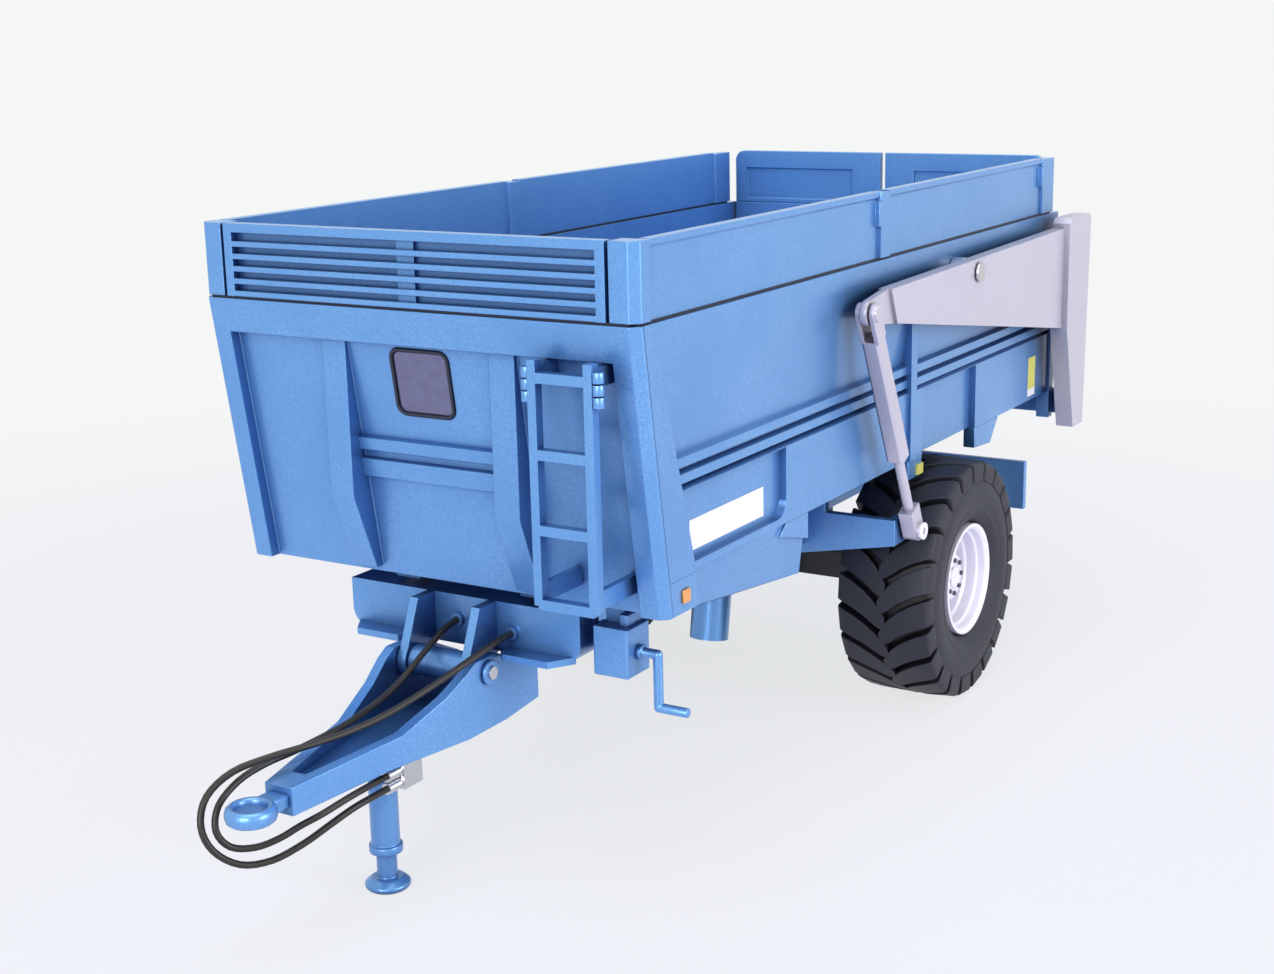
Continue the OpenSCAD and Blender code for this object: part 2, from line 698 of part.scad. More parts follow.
cyl_head = 4.6;
module side_barrel() {
    cheek = barrel_w / 2 - tongue_t / 2 - 0.25;
    cheek_y = barrel_w / 2 - cheek / 2;
    head_t = 0.4;
    placed() on_cylinder() {
        difference() {
            square_bar(barrel_w, cyl_head, barrel_len);
            translate([0, 0, cyl_head + 1]) cylinder(h = barrel_len, d = rod_d + 2 * fit);
        }
        for (s = [-1, 1]) translate([0, s * cheek_y, 0]) {
            rotate([90, 0, 0]) cylinder(h = cheek, d = barrel_w, center = true);
            translate([-barrel_w / 2, -cheek / 2, 0]) cube([barrel_w, cheek, cyl_head + root]);
        }
        rotate([90, 0, 0]) cylinder(h = barrel_w + head_t, d = cyl_pin_d, center = true);
        translate([0, barrel_w / 2 - 0.1, 0]) rotate([-90, 0, 0]) cylinder(h = head_t + 0.1, d = cyl_pin_d + 1);
    }
}

module barrel_left() color(arm_grey) side_barrel();
module barrel_right() color(arm_grey) on_right() side_barrel();

module side_rod() {
    eye_t = 2.4;
    eye_w = 3.4;
    pin_in = 3.6;
    head_t = 0.7;
    rod_low = cyl_head + 1 + rod_stroke + 0.4;
    placed() on_cylinder() {
        translate([0, 0, rod_low]) cylinder(h = cyl_len - rod_low - 1, d = rod_d);
        translate([0, 0, cyl_len]) rotate([90, 0, 0]) cylinder(h = eye_t, d = eye_w, center = true);
        translate([-eye_w / 2, -eye_t / 2, cyl_len - 4.6]) cube([eye_w, eye_t, 4.6]);
        translate([0, -pin_in, cyl_len]) rotate([-90, 0, 0]) cylinder(h = pin_in + eye_t / 2, d = cyl_pin_d);
        translate([0, eye_t / 2 - 0.1, cyl_len]) rotate([-90, 0, 0]) cylinder(h = head_t, d = cyl_pin_d + 1.2);
    }
}

module rod_left() color(arm_grey) side_rod();
module rod_right() color(arm_grey) on_right() side_rod();

module chassis_rails() color(blue) placed() both() difference() {
    lug_r = hinge_pin_d / 2 + 1.3;
    union() {
        block([hinge_x - lug_r, rail_in, rail_low], [beam_x - beam_t, rail_out, rail_top]);
        bar_y(2 * lug_r, hinge_x, hinge_z, rail_in, rail_out);
        block([hinge_x - lug_r, rail_in, rail_top - 1], [hinge_x + lug_r, rail_out, hinge_z]);
    }
    bar_y(hinge_pin_d + 2 * fit, hinge_x, hinge_z, rail_in - 1, rail_out + 1);
    bar_y(ram_pin_d + 2 * fit, ram_x, ram_z, rail_in - 1, rail_out - 1);
}

module cross_members() color(blue) placed() {
    width = 4;
    set_in = 1;
    for (x = [-58, hinge_x + 22])
        block([x - width / 2, -rail_in, rail_low + set_in], [x + width / 2, rail_in, rail_top - set_in]);
}

module front_beam() color(blue) placed() {
    end_r = 3;
    half = beam_w / 2;
    flange_h = 1;
    flange_in = bar_w / 2 + 0.4;
    flange_out = half - 3.4;
    ear_y = bar_w / 2 - bar_wall - ear_gap;
    boss_r = bar_pin_d / 2 + 1.6;
    gland_d = hose_d + 0.8;
    along_x(beam_x - beam_t, beam_x) {
        translate([-half, rail_low + end_r]) square([beam_w, rail_depth - end_r]);
        translate([-half + end_r, rail_low]) square([beam_w - 2 * end_r, end_r]);
        for (s = [-1, 1]) translate([s * (half - end_r), rail_low + end_r]) circle(end_r);
    }
    both() translate([beam_x, 0, rail_low]) linear_extrude(height = flange_h)
        polygon([[-root, flange_in], [2.4, flange_in], [3.4, flange_in + 1], [3.4, flange_out],
                 [-root, flange_out + 2.4]]);
    both() difference() {
        union() {
            slab([[beam_x - root, rail_top], [beam_x + 4, rail_top], [bar_pin_x + boss_r, bar_pin_z],
                  [bar_pin_x - boss_r, bar_pin_z], [beam_x - root, rail_low]], ear_y - ear_t, ear_y);
            bar_y(2 * boss_r, bar_pin_x, bar_pin_z, ear_y - ear_t, ear_y);
        }
        bar_y(bar_pin_d + 2 * fit, bar_pin_x, bar_pin_z, ear_y - 2 * ear_t, ear_y + 1);
    }
    for (start = [hose_left_start, hose_right_start])
        translate([beam_x - root, start[1], start[2]]) rotate([0, 90, 0])
            cylinder(h = start[0] - beam_x + root, d = gland_d);
}

module drawbar() color(blue) placed() {
    tail_x = beam_x - 7.3;
    nose_w = 4.6;
    trough_low = eye_z + 0.8;
    inside = bar_w / 2 - bar_wall;
    wide_x = bar_pin_x + 5;
    difference() {
        intersection() {
            slab([[tail_x, eye_z - 0.2], [tail_x, eye_z + 4.9], [beam_x + 0.2, rail_low - 0.3],
                  [bar_pin_x - 2, bar_pin_z + 2.2], [bar_pin_x + 3, bar_pin_z + 2.3],
                  [bar_pin_x + 9, bar_pin_z - 1.2], [bar_pin_x + 17, eye_z + 3.3],
                  [nose_x, eye_z + 1.9], [nose_x, eye_z - 2], [jack_x + 5, bar_low],
                  [bar_pin_x - 4, bar_low]], -bar_w, bar_w);
            linear_extrude(height = tub_top)
                polygon([[tail_x, -bar_w / 2], [wide_x, -bar_w / 2], [nose_x, -nose_w / 2],
                         [nose_x, nose_w / 2], [wide_x, bar_w / 2], [tail_x, bar_w / 2]]);
        }
        translate([0, 0, trough_low]) linear_extrude(height = tub_top)
            polygon([[tail_x - 1, -inside], [wide_x, -inside], [nose_x - 4, -nose_w / 2 + 1.1],
                     [nose_x - 4, nose_w / 2 - 1.1], [wide_x, inside], [tail_x - 1, inside]]);
        bar_y(bar_pin_d + 2 * fit, bar_pin_x, bar_pin_z, -bar_w, bar_w);
    }
}

module drawbar_pin() color(silver) placed() {
    ear_in = bar_w / 2 - bar_wall - ear_gap - ear_t;
    bar_y(bar_pin_d, bar_pin_x, bar_pin_z, -bar_w / 2 - 0.2, bar_w / 2 + 0.2);
    bar_y(bar_pin_d + 2.2, bar_pin_x, bar_pin_z, -ear_in + 0.1, ear_in - 0.1);
    both() bar_y(bar_pin_d + 1.2, bar_pin_x, bar_pin_z, bar_w / 2 + 0.05, bar_w / 2 + 0.7);
}

module towing_eye() color(blue) placed() difference() {
    h = 1.4;
    r = eye_d / 2;
    union() {
        translate([eye_reach, 0, eye_z]) rotate_extrude()
            polygon([[0, -h], [r - 0.9, -h], [r - 0.3, -0.7 * h], [r, -0.2 * h], [r, 0.2 * h],
                     [r - 0.3, 0.7 * h], [r - 0.9, h], [0, h]]);
        block([nose_x, -h - 0.5, eye_z - h + 0.1], [eye_reach - r + 1.2, h + 0.5, eye_z + h - 0.1]);
    }
    translate([eye_reach, 0, eye_z - 2 * h]) cylinder(h = 4 * h, d = eye_bore);
}

module axle() color(black) placed() {
    beam = 5;
    inner = track / 2 - tyre_w / 2 - 0.6;
    block([axle_x - beam / 2, -inner, axle_z - beam / 2], [axle_x + beam / 2, inner, axle_z + beam / 2]);
    both() bar_y(spindle_d, axle_x, axle_z, inner - 1, track / 2 + 4);
}

module spring_blocks() color(black) placed() both()
    block([axle_x - 6, rail_in + 0.5, axle_z + 2.5], [axle_x + 6, rail_out - 0.5, rail_low]);

jack_low = 5.5;
module jack_tube() color(blue) placed() translate([jack_x, 0, 0]) difference() {
    collar_h = 1.2;
    top = bar_low - touch;
    union() {
        translate([0, 0, jack_low]) cylinder(h = top - jack_low, d = jack_d);
        translate([0, 0, top - collar_h]) cylinder(h = collar_h, d = jack_d + 2);
        translate([0, 0, jack_low]) cylinder(h = collar_h, d = jack_d + 0.7);
    }
    translate([0, 0, jack_low - 1]) cylinder(h = top - jack_low - 0.6, d = leg_d + 2 * fit);
}

module jack_leg() color(blue) placed() translate([jack_x, 0, 0]) {
    r = foot_d / 2;
    foot_h = 1.7;
    rotate_extrude() polygon([[0, 0], [r - 0.4, 0], [r, 0.4], [r, 0.9], [r - 1, foot_h], [0, foot_h]]);
    translate([0, 0, foot_h - 0.1]) cylinder(h = 11, d = leg_d);
}

brake_y = beam_w / 2;
brake_w = 7.8;
brake_x = beam_x - 3;
module brake_box() color(blue) placed() {
    lug_r = 1.6;
    lug_y = brake_y + 4;
    low = rail_low - 0.9;
    high = rail_low + 5.8;
    block([brake_x - 3, brake_y, low], [brake_x + 3, brake_y + brake_w, high]);
    along_x(brake_x - 0.7, brake_x + 0.7) difference() {
        union() {
            translate([lug_y, high + lug_r]) circle(lug_r);
            translate([lug_y - lug_r, high - root]) square([2 * lug_r, lug_r + root]);
        }
        translate([lug_y, high + lug_r]) circle(0.5);
    }
}

module brake_crank() color(blue) placed() {
    bar_d = 1.4;
    shaft_z = rail_low + 2.5;
    throw = 7.8;
    arm = brake_y + brake_w + 3.1;
    bar_y(bar_d, brake_x, shaft_z, brake_y + brake_w, arm);
    bar_y(bar_d + 0.8, brake_x, shaft_z, brake_y + brake_w, brake_y + brake_w + 0.8);
    translate([brake_x, arm, shaft_z - throw]) cylinder(h = throw, d = bar_d);
    bar_y(bar_d, brake_x, shaft_z - throw, arm, arm + 4.8);
    for (z = [shaft_z, shaft_z - throw]) translate([brake_x, arm, z]) sphere(d = bar_d);
}

light_low = rail_low - 6;
light_t = 1.4;
module light_board() color(blue) placed()
    block([light_x - light_t, -light_w / 2, light_low], [light_x, light_w / 2, light_low + light_h]);

module lamps() color("firebrick") placed() both() for (n = [0, 1]) {
    lamp_w = 6;
    margin = 1.5;
    y = light_w / 2 - 7.5 - 8 * n;
    block([light_x - light_t - 1, y - lamp_w / 2, light_low + margin],
          [light_x - light_t, y + lamp_w / 2, light_low + light_h - margin]);
}

module tipping_pin() color(silver) placed()
    bar_y(hinge_pin_d, hinge_x, hinge_z, -rail_out - 3.2, rail_out + 3.2);

module hose_couplers() color(silver) placed() {
    coupler_d = 1.6;
    length = 2.6;
    wide = 2.2;
    y = hose_left_end[1];
    x = hose_left_end[0] - length;
    block([x - 4, y - wide / 2, hose_left_end[2] - 0.8], [x, y + wide / 2, bar_low - touch]);
    for (end = [hose_left_end, hose_right_end])
        translate([x - root, end[1], end[2]]) rotate([0, 90, 0]) cylinder(h = length + root, d = coupler_d);
}

module hose_left() color("#231f20") placed() swept_tube(hose_left_route, hose_d);
module hose_right() color("#231f20") placed() swept_tube(hose_right_route, hose_d);

// Turns a shape drawn upward from the trunnion onto the ram's line
module on_ram() placed() translate([ram_x, 0, ram_z]) rotate([0, -ram_lean, 0]) children();

ram_end = 1.2;
module ram_barrel() color(blue) on_ram() {
    top = ram_reach - 4;
    difference() {
        translate([0, 0, -ram_below]) cylinder(h = ram_below + top, d = ram_d);
        translate([0, 0, -ram_below + ram_end]) cylinder(h = ram_below + top, d = stage_d + 2 * fit);
    }
    both() rotate([-90, 0, 0]) translate([0, 0, ram_d / 2 - 0.4])
        cylinder(h = rail_in + 2.5 - ram_d / 2, d = ram_pin_d);
}

module ram_stage() color(silver) on_ram() difference() {
    low = -ram_below + ram_end + 0.4;
    translate([0, 0, low]) cylinder(h = ram_reach - 2.4 - low, d = stage_d);
    translate([0, 0, low + ram_end]) cylinder(h = ram_reach - low, d = ram_rod_d + 2 * fit);
}

module ram_rod() color(silver) on_ram() {
    low = -ram_below + 2 * ram_end + 0.8;
    ball_z = ram_reach - ram_rod_d / 2 - 0.2;
    translate([0, 0, low]) cylinder(h = ball_z - low, d = ram_rod_d);
    translate([0, 0, ball_z]) sphere(d = ram_rod_d);
}

module wheel_at() placed() translate([axle_x, track / 2, axle_z]) rotate([-90, 0, 0]) children();

// One lug: four stations from the tread's middle over the shoulder, each
// [across, radius, across at its foot, radius of its foot, half its angle]
module lug() {
    r = tyre_d / 2;
    w = tyre_w / 2;
    base = r - lug_h;
    sweep = 2.1;
    stations = [[-0.7, r, -0.7, base - 0.6, 4.2], [0.6 * w, r - 0.1, 0.6 * w, base - 0.6, 5.3],
                [0.87 * w, r - 0.7, 0.8 * w, base - 1.2, 5.6], [w, r - 4.2, w - 1.3, r - 4.8, 4.9]];
    corners = [for (s = stations) let (turn = -sweep * min(s[0], 0.8 * w))
        each [[s[3], turn + s[4], s[2]], [s[1], turn + s[4], s[0]],
              [s[1], turn - s[4], s[0]], [s[3], turn - s[4], s[2]]]];
    walls = [for (i = [0:2], k = [0:3]) let (a = 4 * i + k, b = 4 * i + (k + 1) % 4)
        each [[a, b, b + 4], [a, b + 4, a + 4]]];
    polyhedron(points = [for (c = corners) [c[0] * cos(c[1]), c[0] * sin(c[1]), c[2]]],
               faces = concat(walls, [[3, 2, 1, 0], [12, 13, 14, 15]]));
}

module tyre() {
    r = tyre_d / 2 - lug_h;
    bead = rim_d / 2 + 0.05;
    w = tyre_w / 2;
    pitch = 360 / lugs;
    wheel_at() {
        rotate_extrude($fn = 64) polygon([
            [bead, -w + 2], [bead + 2, -w + 0.9], [bead + 4.6, -w + 0.1], [r - 2.4, -w + 0.3],
            [r - 0.6, -w + 1.4], [r, -w + 2.8], [r, w - 2.8], [r - 0.6, w - 1.4], [r - 2.4, w - 0.3],
            [bead + 4.6, w - 0.1], [bead + 2, w - 0.9], [bead, w - 2]]);
        for (n = [0:lugs - 1]) {
            rotate(n * pitch) lug();
            rotate((n + 0.5) * pitch) mirror([0, 0, 1]) lug();
        }
    }
}

module tyre_left() color(rubber) tyre();
module tyre_right() color(rubber) on_right() tyre();

module rim() {
    r = rim_d / 2;
    w = tyre_w / 2 - 0.8;
    bore = spindle_d / 2 + fit;
    hub = spindle_d / 2 + 2;
    lip = 1.3;
    wheel_at() rotate_extrude($fn = 64) polygon([
        [bore, -3], [hub, -3], [hub, 1], [r - lip, -0.4], [r - lip, -w], [r, -w], [r, w], [r - 0.6, w],
        [r - lip, w - 1], [r - lip, 1.8], [r - 2 * lip, 1.2], [hub + 1, 2.6], [hub + 0.6, 4.2],
        [hub - 0.6, 5.2], [bore, 5.2]]);
}

module rim_left() color(silver) rim();
module rim_right() color(silver) on_right() rim();

tub_floor();
tub_runners();
tub_front();
tub_side_left();
tub_side_right();
skirt_left();
skirt_right();
tipping_lugs();
cylinder_bracket_left();
cylinder_bracket_right();
arm_pins();
window_glass();
window_seal();
ladder();
front_louvre();
side_boards_left();
side_boards_right();
reflectors();
tailgate_panel();
tailgate_beams();
lift_arm_left();
lift_arm_right();
rear_boards();
barrel_left();
barrel_right();
rod_left();
rod_right();
chassis_rails();
cross_members();
front_beam();
drawbar();
drawbar_pin();
towing_eye();
axle();
spring_blocks();
jack_tube();
jack_leg();
brake_box();
brake_crank();
light_board();
lamps();
tipping_pin();
hose_couplers();
hose_left();
hose_right();
ram_barrel();
ram_stage();
ram_rod();
tyre_left();
tyre_right();
rim_left();
rim_right();
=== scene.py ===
# %% [markdown]
# # A die-cast tipping trailer, finished in Blender
# The object is a collector's scale model of a single-axle tipping farm trailer. Its castings, pins and
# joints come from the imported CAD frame, which is never moved here. This lesson gives every surface the
# finish of the real model: sprayed metallic paint, moulded rubber, bright pins and clear lenses.

# %% Load the frame
import json
import math
from functools import partial

import bmesh
import bpy
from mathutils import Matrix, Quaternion, Vector


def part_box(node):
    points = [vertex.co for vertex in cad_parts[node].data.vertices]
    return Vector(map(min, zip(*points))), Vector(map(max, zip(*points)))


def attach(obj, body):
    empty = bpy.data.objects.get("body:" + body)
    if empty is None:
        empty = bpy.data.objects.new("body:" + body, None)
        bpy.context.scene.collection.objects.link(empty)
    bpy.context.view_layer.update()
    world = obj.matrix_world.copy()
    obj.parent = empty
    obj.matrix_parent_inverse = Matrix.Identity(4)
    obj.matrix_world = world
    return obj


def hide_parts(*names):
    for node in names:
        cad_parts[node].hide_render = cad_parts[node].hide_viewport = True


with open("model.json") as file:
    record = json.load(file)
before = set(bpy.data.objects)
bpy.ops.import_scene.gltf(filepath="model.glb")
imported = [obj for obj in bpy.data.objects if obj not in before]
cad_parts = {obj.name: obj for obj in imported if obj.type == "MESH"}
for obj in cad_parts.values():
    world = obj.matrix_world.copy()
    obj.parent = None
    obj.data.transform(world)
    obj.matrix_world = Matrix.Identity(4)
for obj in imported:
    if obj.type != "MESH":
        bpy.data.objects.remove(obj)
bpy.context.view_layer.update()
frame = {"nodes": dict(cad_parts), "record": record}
MM = 0.001
SIDES = ((1, "left"), (-1, "right"))
scene = bpy.context.scene
scene.view_settings.view_transform = "Standard"
tub_front_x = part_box("tub_front")[1].x


def at(x, y, z):
    """A point from millimetres: x ahead of the tub's front top edge, y to the left, z above the floor."""
    return Vector((tub_front_x + x * MM, y * MM, z * MM))


# %% [markdown]
# ## The camera
# The photograph was taken close to the front left corner, a little above the tub's rim. A place, a heading,
# a pitch and a small roll describe that camera; a lens length with Blender's 36 mm sensor gives its field
# of view.

# %% Camera
camera_place = at(198.15, 158.49, 117.09)
camera_heading = math.radians(211.6)
camera_pitch = math.radians(-13.8)
camera_roll = math.radians(-1.26)
camera_lens = 52.77
nearest_seen = 0.01

camera_data = bpy.data.cameras.new("photo_camera")
camera_data.lens = camera_lens
camera_data.clip_start = nearest_seen
camera = bpy.data.objects.new("photo_camera", camera_data)
scene.collection.objects.link(camera)
scene.camera = camera
level = math.cos(camera_pitch)
looking = Vector((math.cos(camera_heading) * level, math.sin(camera_heading) * level, math.sin(camera_pitch)))
camera.rotation_mode = "QUATERNION"
camera.rotation_quaternion = looking.to_track_quat("-Z", "Y") @ Quaternion((0, 0, 1), camera_roll)
camera.location = camera_place
print("camera at", [round(c, 3) for c in camera_place])

# %% [markdown]
# ## Helpers for materials
# Colours are written as the eye reads them, in sRGB hex, and one function turns them to the linear values
# that the shader wants. Another adds a node with its settings and links, so each finish below stays a short
# recipe.

# %% Colour and node helpers
def colour(code):
    """An sRGB hex colour as linear red, green, blue and alpha."""
    channels = [int(code[i:i + 2], 16) / 255 for i in (1, 3, 5)]
    return tuple(c / 12.92 if c <= 0.04045 else ((c + 0.055) / 1.055) ** 2.4 for c in channels) + (1.0,)


def add(tree, kind, inputs=None, **settings):
    """Adds a node, sets its attributes, and fills or links its inputs."""
    node = tree.nodes.new(kind)
    for name, value in settings.items():
        setattr(node, name, value)
    for name, value in (inputs or {}).items():
        if isinstance(value, bpy.types.NodeSocket):
            tree.links.new(value, node.inputs[name])
        else:
            node.inputs[name].default_value = value
    return node


def finish_named(name):
    """A new material with its Principled shader, ready for a recipe."""
    material = bpy.data.materials.new(name)
    material.use_nodes = True
    tree = material.node_tree
    return material, tree, tree.nodes["Principled BSDF"]


print("mid grey is", round(colour("#808080")[0], 3), "in linear values")

# %% [markdown]
# ## Metallic paint on zinc
# The castings are zinc, sprayed with a blue lacquer full of fine aluminium flake. The flake gives a grain
# that sparkles from cell to cell, the lacquer lies with a faint orange peel, and a clear coat adds the
# sharp highlight on top. Real flake is some 0.03 mm, too fine to show, so it is drawn at 0.15 mm. In
# corners and behind other castings the lacquer's colour is turned to a deeper tone: that is painted
# shade, standing in for the shade that falls there.

# %% Painted shade in recesses
FULL_SHADE_BELOW = 0.12
NO_SHADE_ABOVE = 0.88


def with_painted_shade(tree, open_tone, deep, reach):
    """The open tone of a surface, turned to a deeper tone as painted shade where other surfaces stand close
    around it.
    """
    room = add(tree, "ShaderNodeAmbientOcclusion", {"Distance": reach}, samples=6)
    share = {"Value": room.outputs["AO"], "From Min": FULL_SHADE_BELOW, "From Max": NO_SHADE_ABOVE}
    openness = add(tree, "ShaderNodeMapRange", share)
    tones = {"Factor": openness.outputs["Result"], "A": colour(deep), "B": open_tone}
    return add(tree, "ShaderNodeMix", tones, data_type="RGBA").outputs["Result"]


print("the deep tone is full below", FULL_SHADE_BELOW, "and gone above", NO_SHADE_ABOVE)

# %% Metallic paint
FLAKE = 0.15 * MM
DRIFT = 14 * MM
PEEL = 0.9 * MM
PEEL_HEIGHT = 0.05 * MM
PAINTED_SHADE_REACH = 16 * MM
TONE_SHIFT = -0.12
SMOOTHER = 0.06
ROUGHER = 0.08
COAT_ROUGHNESS = 0.12


def metallic_paint(name, dark, light, deep, metallic, roughness, coat):
    """Lacquer with aluminium flake: a cell-by-cell grain of two tones under a clear coat."""
    material, tree, shader = finish_named(name)
    place = add(tree, "ShaderNodeTexCoord").outputs["Object"]
    flake = add(tree, "ShaderNodeTexVoronoi", {"Vector": place, "Scale": 1 / FLAKE})
    grain = add(tree, "ShaderNodeSeparateColor", {"Color": flake.outputs["Color"]})
    drift = add(tree, "ShaderNodeTexNoise", {"Vector": place, "Scale": 1 / DRIFT, "Detail": 2.0})
    sparkle = {0: grain.outputs["Red"], 1: drift.outputs["Fac"], 2: TONE_SHIFT}
    tone = add(tree, "ShaderNodeMath", sparkle, operation="MULTIPLY_ADD")
    tones = {"Factor": tone.outputs[0], "A": colour(dark), "B": colour(light)}
    blend = add(tree, "ShaderNodeMix", tones, data_type="RGBA")
    spread = {"Value": grain.outputs["Green"], "To Min": roughness - SMOOTHER, "To Max": roughness + ROUGHER}
    rough = add(tree, "ShaderNodeMapRange", spread)
    peel = add(tree, "ShaderNodeTexNoise", {"Vector": place, "Scale": 1 / PEEL, "Detail": 1.0})
    skin = {"Height": peel.outputs["Fac"], "Strength": 0.06, "Distance": PEEL_HEIGHT}
    bump = add(tree, "ShaderNodeBump", skin)
    # The base colour carries painted shade: the deep tone where other surfaces stand close.
    base = with_painted_shade(tree, blend.outputs["Result"], deep, PAINTED_SHADE_REACH)
    tree.links.new(base, shader.inputs["Base Color"])
    tree.links.new(rough.outputs["Result"], shader.inputs["Roughness"])
    tree.links.new(bump.outputs["Normal"], shader.inputs["Normal"])
    shader.inputs["Metallic"].default_value = metallic
    shader.inputs["Coat Weight"].default_value = coat
    shader.inputs["Coat Roughness"].default_value = COAT_ROUGHNESS
    return material


# The third colour of each paint is its painted shade, for corners and recesses.
blue_paint = metallic_paint("metallic_blue_lacquer", "#629ad6", "#8abaee", "#0f3470", 0.62, 0.36, 0.35)
grey_paint = metallic_paint("light_grey_lacquer", "#c3bfcb", "#d9d5e0", "#5c5866", 0.35, 0.42, 0.15)
rim_paint = metallic_paint("silver_rim_lacquer", "#f2f1f7", "#fcfbff", "#dedce6", 0.1, 0.34, 0.25)
black_paint = metallic_paint("black_axle_lacquer", "#141416", "#26262a", "#060608", 0.2, 0.45, 0.2)
print("paints:", blue_paint.name, grey_paint.name, rim_paint.name, black_paint.name)

# %% [markdown]
# ## Steel, rubber and lenses
# Pins are bright turned steel with fine rings left by the tool. Tyres and hoses are moulded rubber, dull
# with a little bloom. Lenses are dyed clear plastic, and the window is a smoked one. The tool's rings and
# the mould's grain are finer than this on the real model: they are drawn at about 0.3 mm, so that they
# show.

# %% Turned steel
TOOL_RING = 0.3 * MM


def turned_steel(name, tone):
    """Bright turned steel: a metal whose roughness changes in fine bands."""
    material, tree, shader = finish_named(name)
    place = add(tree, "ShaderNodeTexCoord").outputs["Object"]
    bands = add(tree, "ShaderNodeTexNoise", {"Vector": place, "Scale": 1 / TOOL_RING, "Detail": 1.0})
    rough = add(tree, "ShaderNodeMapRange", {"Value": bands.outputs["Fac"], "To Min": 0.18, "To Max": 0.34})
    tree.links.new(rough.outputs["Result"], shader.inputs["Roughness"])
    shader.inputs["Base Color"].default_value = colour(tone)
    shader.inputs["Metallic"].default_value = 1.0
    return material


bright_steel = turned_steel("bright_turned_steel", "#c9c9ce")
# The nuts are real, but their dark steel is painted shade, standing in for the shade in the bolt holes round
# the hub.
nut_shade_steel = turned_steel("dark_nut_steel", "#5c5c66")
print("steels:", bright_steel.name, nut_shade_steel.name)

# %% Moulded rubber
RUBBER_SHADE_REACH = 2.5 * MM
BLOOM = 3.5 * MM
MOULD_GRAIN = 0.35 * MM
GRAIN_HEIGHT = 0.05 * MM


def moulded_rubber(name, dark, light, deep, roughness):
    """Moulded rubber: two close tones of bloom, a painted shade between the lugs, and a fine mould grain."""
    material, tree, shader = finish_named(name)
    place = add(tree, "ShaderNodeTexCoord").outputs["Object"]
    bloom = add(tree, "ShaderNodeTexNoise", {"Vector": place, "Scale": 1 / BLOOM, "Detail": 3.0})
    tones = {"Factor": bloom.outputs["Fac"], "A": colour(dark), "B": colour(light)}
    blend = add(tree, "ShaderNodeMix", tones, data_type="RGBA")
    grain = add(tree, "ShaderNodeTexNoise", {"Vector": place, "Scale": 1 / MOULD_GRAIN, "Detail": 1.0})
    skin = {"Height": grain.outputs["Fac"], "Strength": 0.12, "Distance": GRAIN_HEIGHT}
    bump = add(tree, "ShaderNodeBump", skin)
    # The base colour carries painted shade, deepest between the lugs.
    base = with_painted_shade(tree, blend.outputs["Result"], deep, RUBBER_SHADE_REACH)
    tree.links.new(base, shader.inputs["Base Color"])
    tree.links.new(bump.outputs["Normal"], shader.inputs["Normal"])
    shader.inputs["Roughness"].default_value = roughness
    return material


# The third colour of each rubber is its painted shade, for the gaps between lugs and other tight corners.
tyre_rubber = moulded_rubber("moulded_tyre_rubber", "#131522", "#1f2131", "#050508", 0.54)
hose_rubber = moulded_rubber("black_hose_rubber", "#17140f", "#241f1c", "#080706", 0.45)
seal_rubber = moulded_rubber("black_seal_rubber", "#161a2a", "#20253a", "#090b14", 0.5)
print("rubbers:", tyre_rubber.name, hose_rubber.name, seal_rubber.name)

# %% Lenses and films
DYE_DEPTH = 2.0 * MM
GLOSS_COAT = 0.6


def dyed_lens(name, deep, lit, roughness):
    """Dyed clear plastic: glossy, with a soft change of depth across the moulding."""
    material, tree, shader = finish_named(name)
    place = add(tree, "ShaderNodeTexCoord").outputs["Object"]
    depth = add(tree, "ShaderNodeTexNoise", {"Vector": place, "Scale": 1 / DYE_DEPTH, "Detail": 1.0})
    tones = {"Factor": depth.outputs["Fac"], "A": colour(deep), "B": colour(lit)}
    blend = add(tree, "ShaderNodeMix", tones, data_type="RGBA")
    tree.links.new(blend.outputs["Result"], shader.inputs["Base Color"])
    shader.inputs["Roughness"].default_value = roughness
    shader.inputs["Coat Weight"].default_value = GLOSS_COAT
    return material


smoked_window = dyed_lens("smoked_window_plastic", "#4e5070", "#66678a", 0.12)
amber_lens = dyed_lens("amber_lens_plastic", "#d98a3a", "#f0a85c", 0.2)
red_lens = dyed_lens("red_lens_plastic", "#8a1512", "#c22a22", 0.15)
white_film = dyed_lens("white_printed_film", "#f4f4f4", "#fbfbfb", 0.3)
yellow_film = dyed_lens("yellow_printed_film", "#d8d45c", "#e6e27a", 0.3)
print("lenses:", smoked_window.name, amber_lens.name, red_lens.name)
print("films:", white_film.name, yellow_film.name)

# %% [markdown]
# ## Softened castings
# A casting has no razor edges: each one is rounded by a few tenths of a millimetre, and that rounding
# catches the light. Each CAD node is copied, its loose triangles are merged into flat faces, and a narrow
# bevel runs along the edges that are sharper than a limit. The copy then stands for the node and rides on
# the same body.

# %% Soft edges
SHARP = math.radians(28)
FLAT_WEIGHT = 90


def plain_mesh(piece):
    """Turns a piece with its modifiers to a plain mesh."""
    depsgraph = bpy.context.evaluated_depsgraph_get()
    finished = bpy.data.meshes.new_from_object(piece.evaluated_get(depsgraph))
    piece.modifiers.clear()
    piece.data = finished


def soft_edges(piece, width):
    """Applies a bevel along the sharp edges, then normals that keep the flat faces flat."""
    bevel = piece.modifiers.new("edge", "BEVEL")
    bevel.width = width
    bevel.segments = 2
    bevel.limit_method = "ANGLE"
    bevel.angle_limit = SHARP
    piece.modifiers.new("flat_faces", "WEIGHTED_NORMAL").weight = FLAT_WEIGHT
    plain_mesh(piece)


print("edges sharper than", round(math.degrees(SHARP)), "degrees are softened")

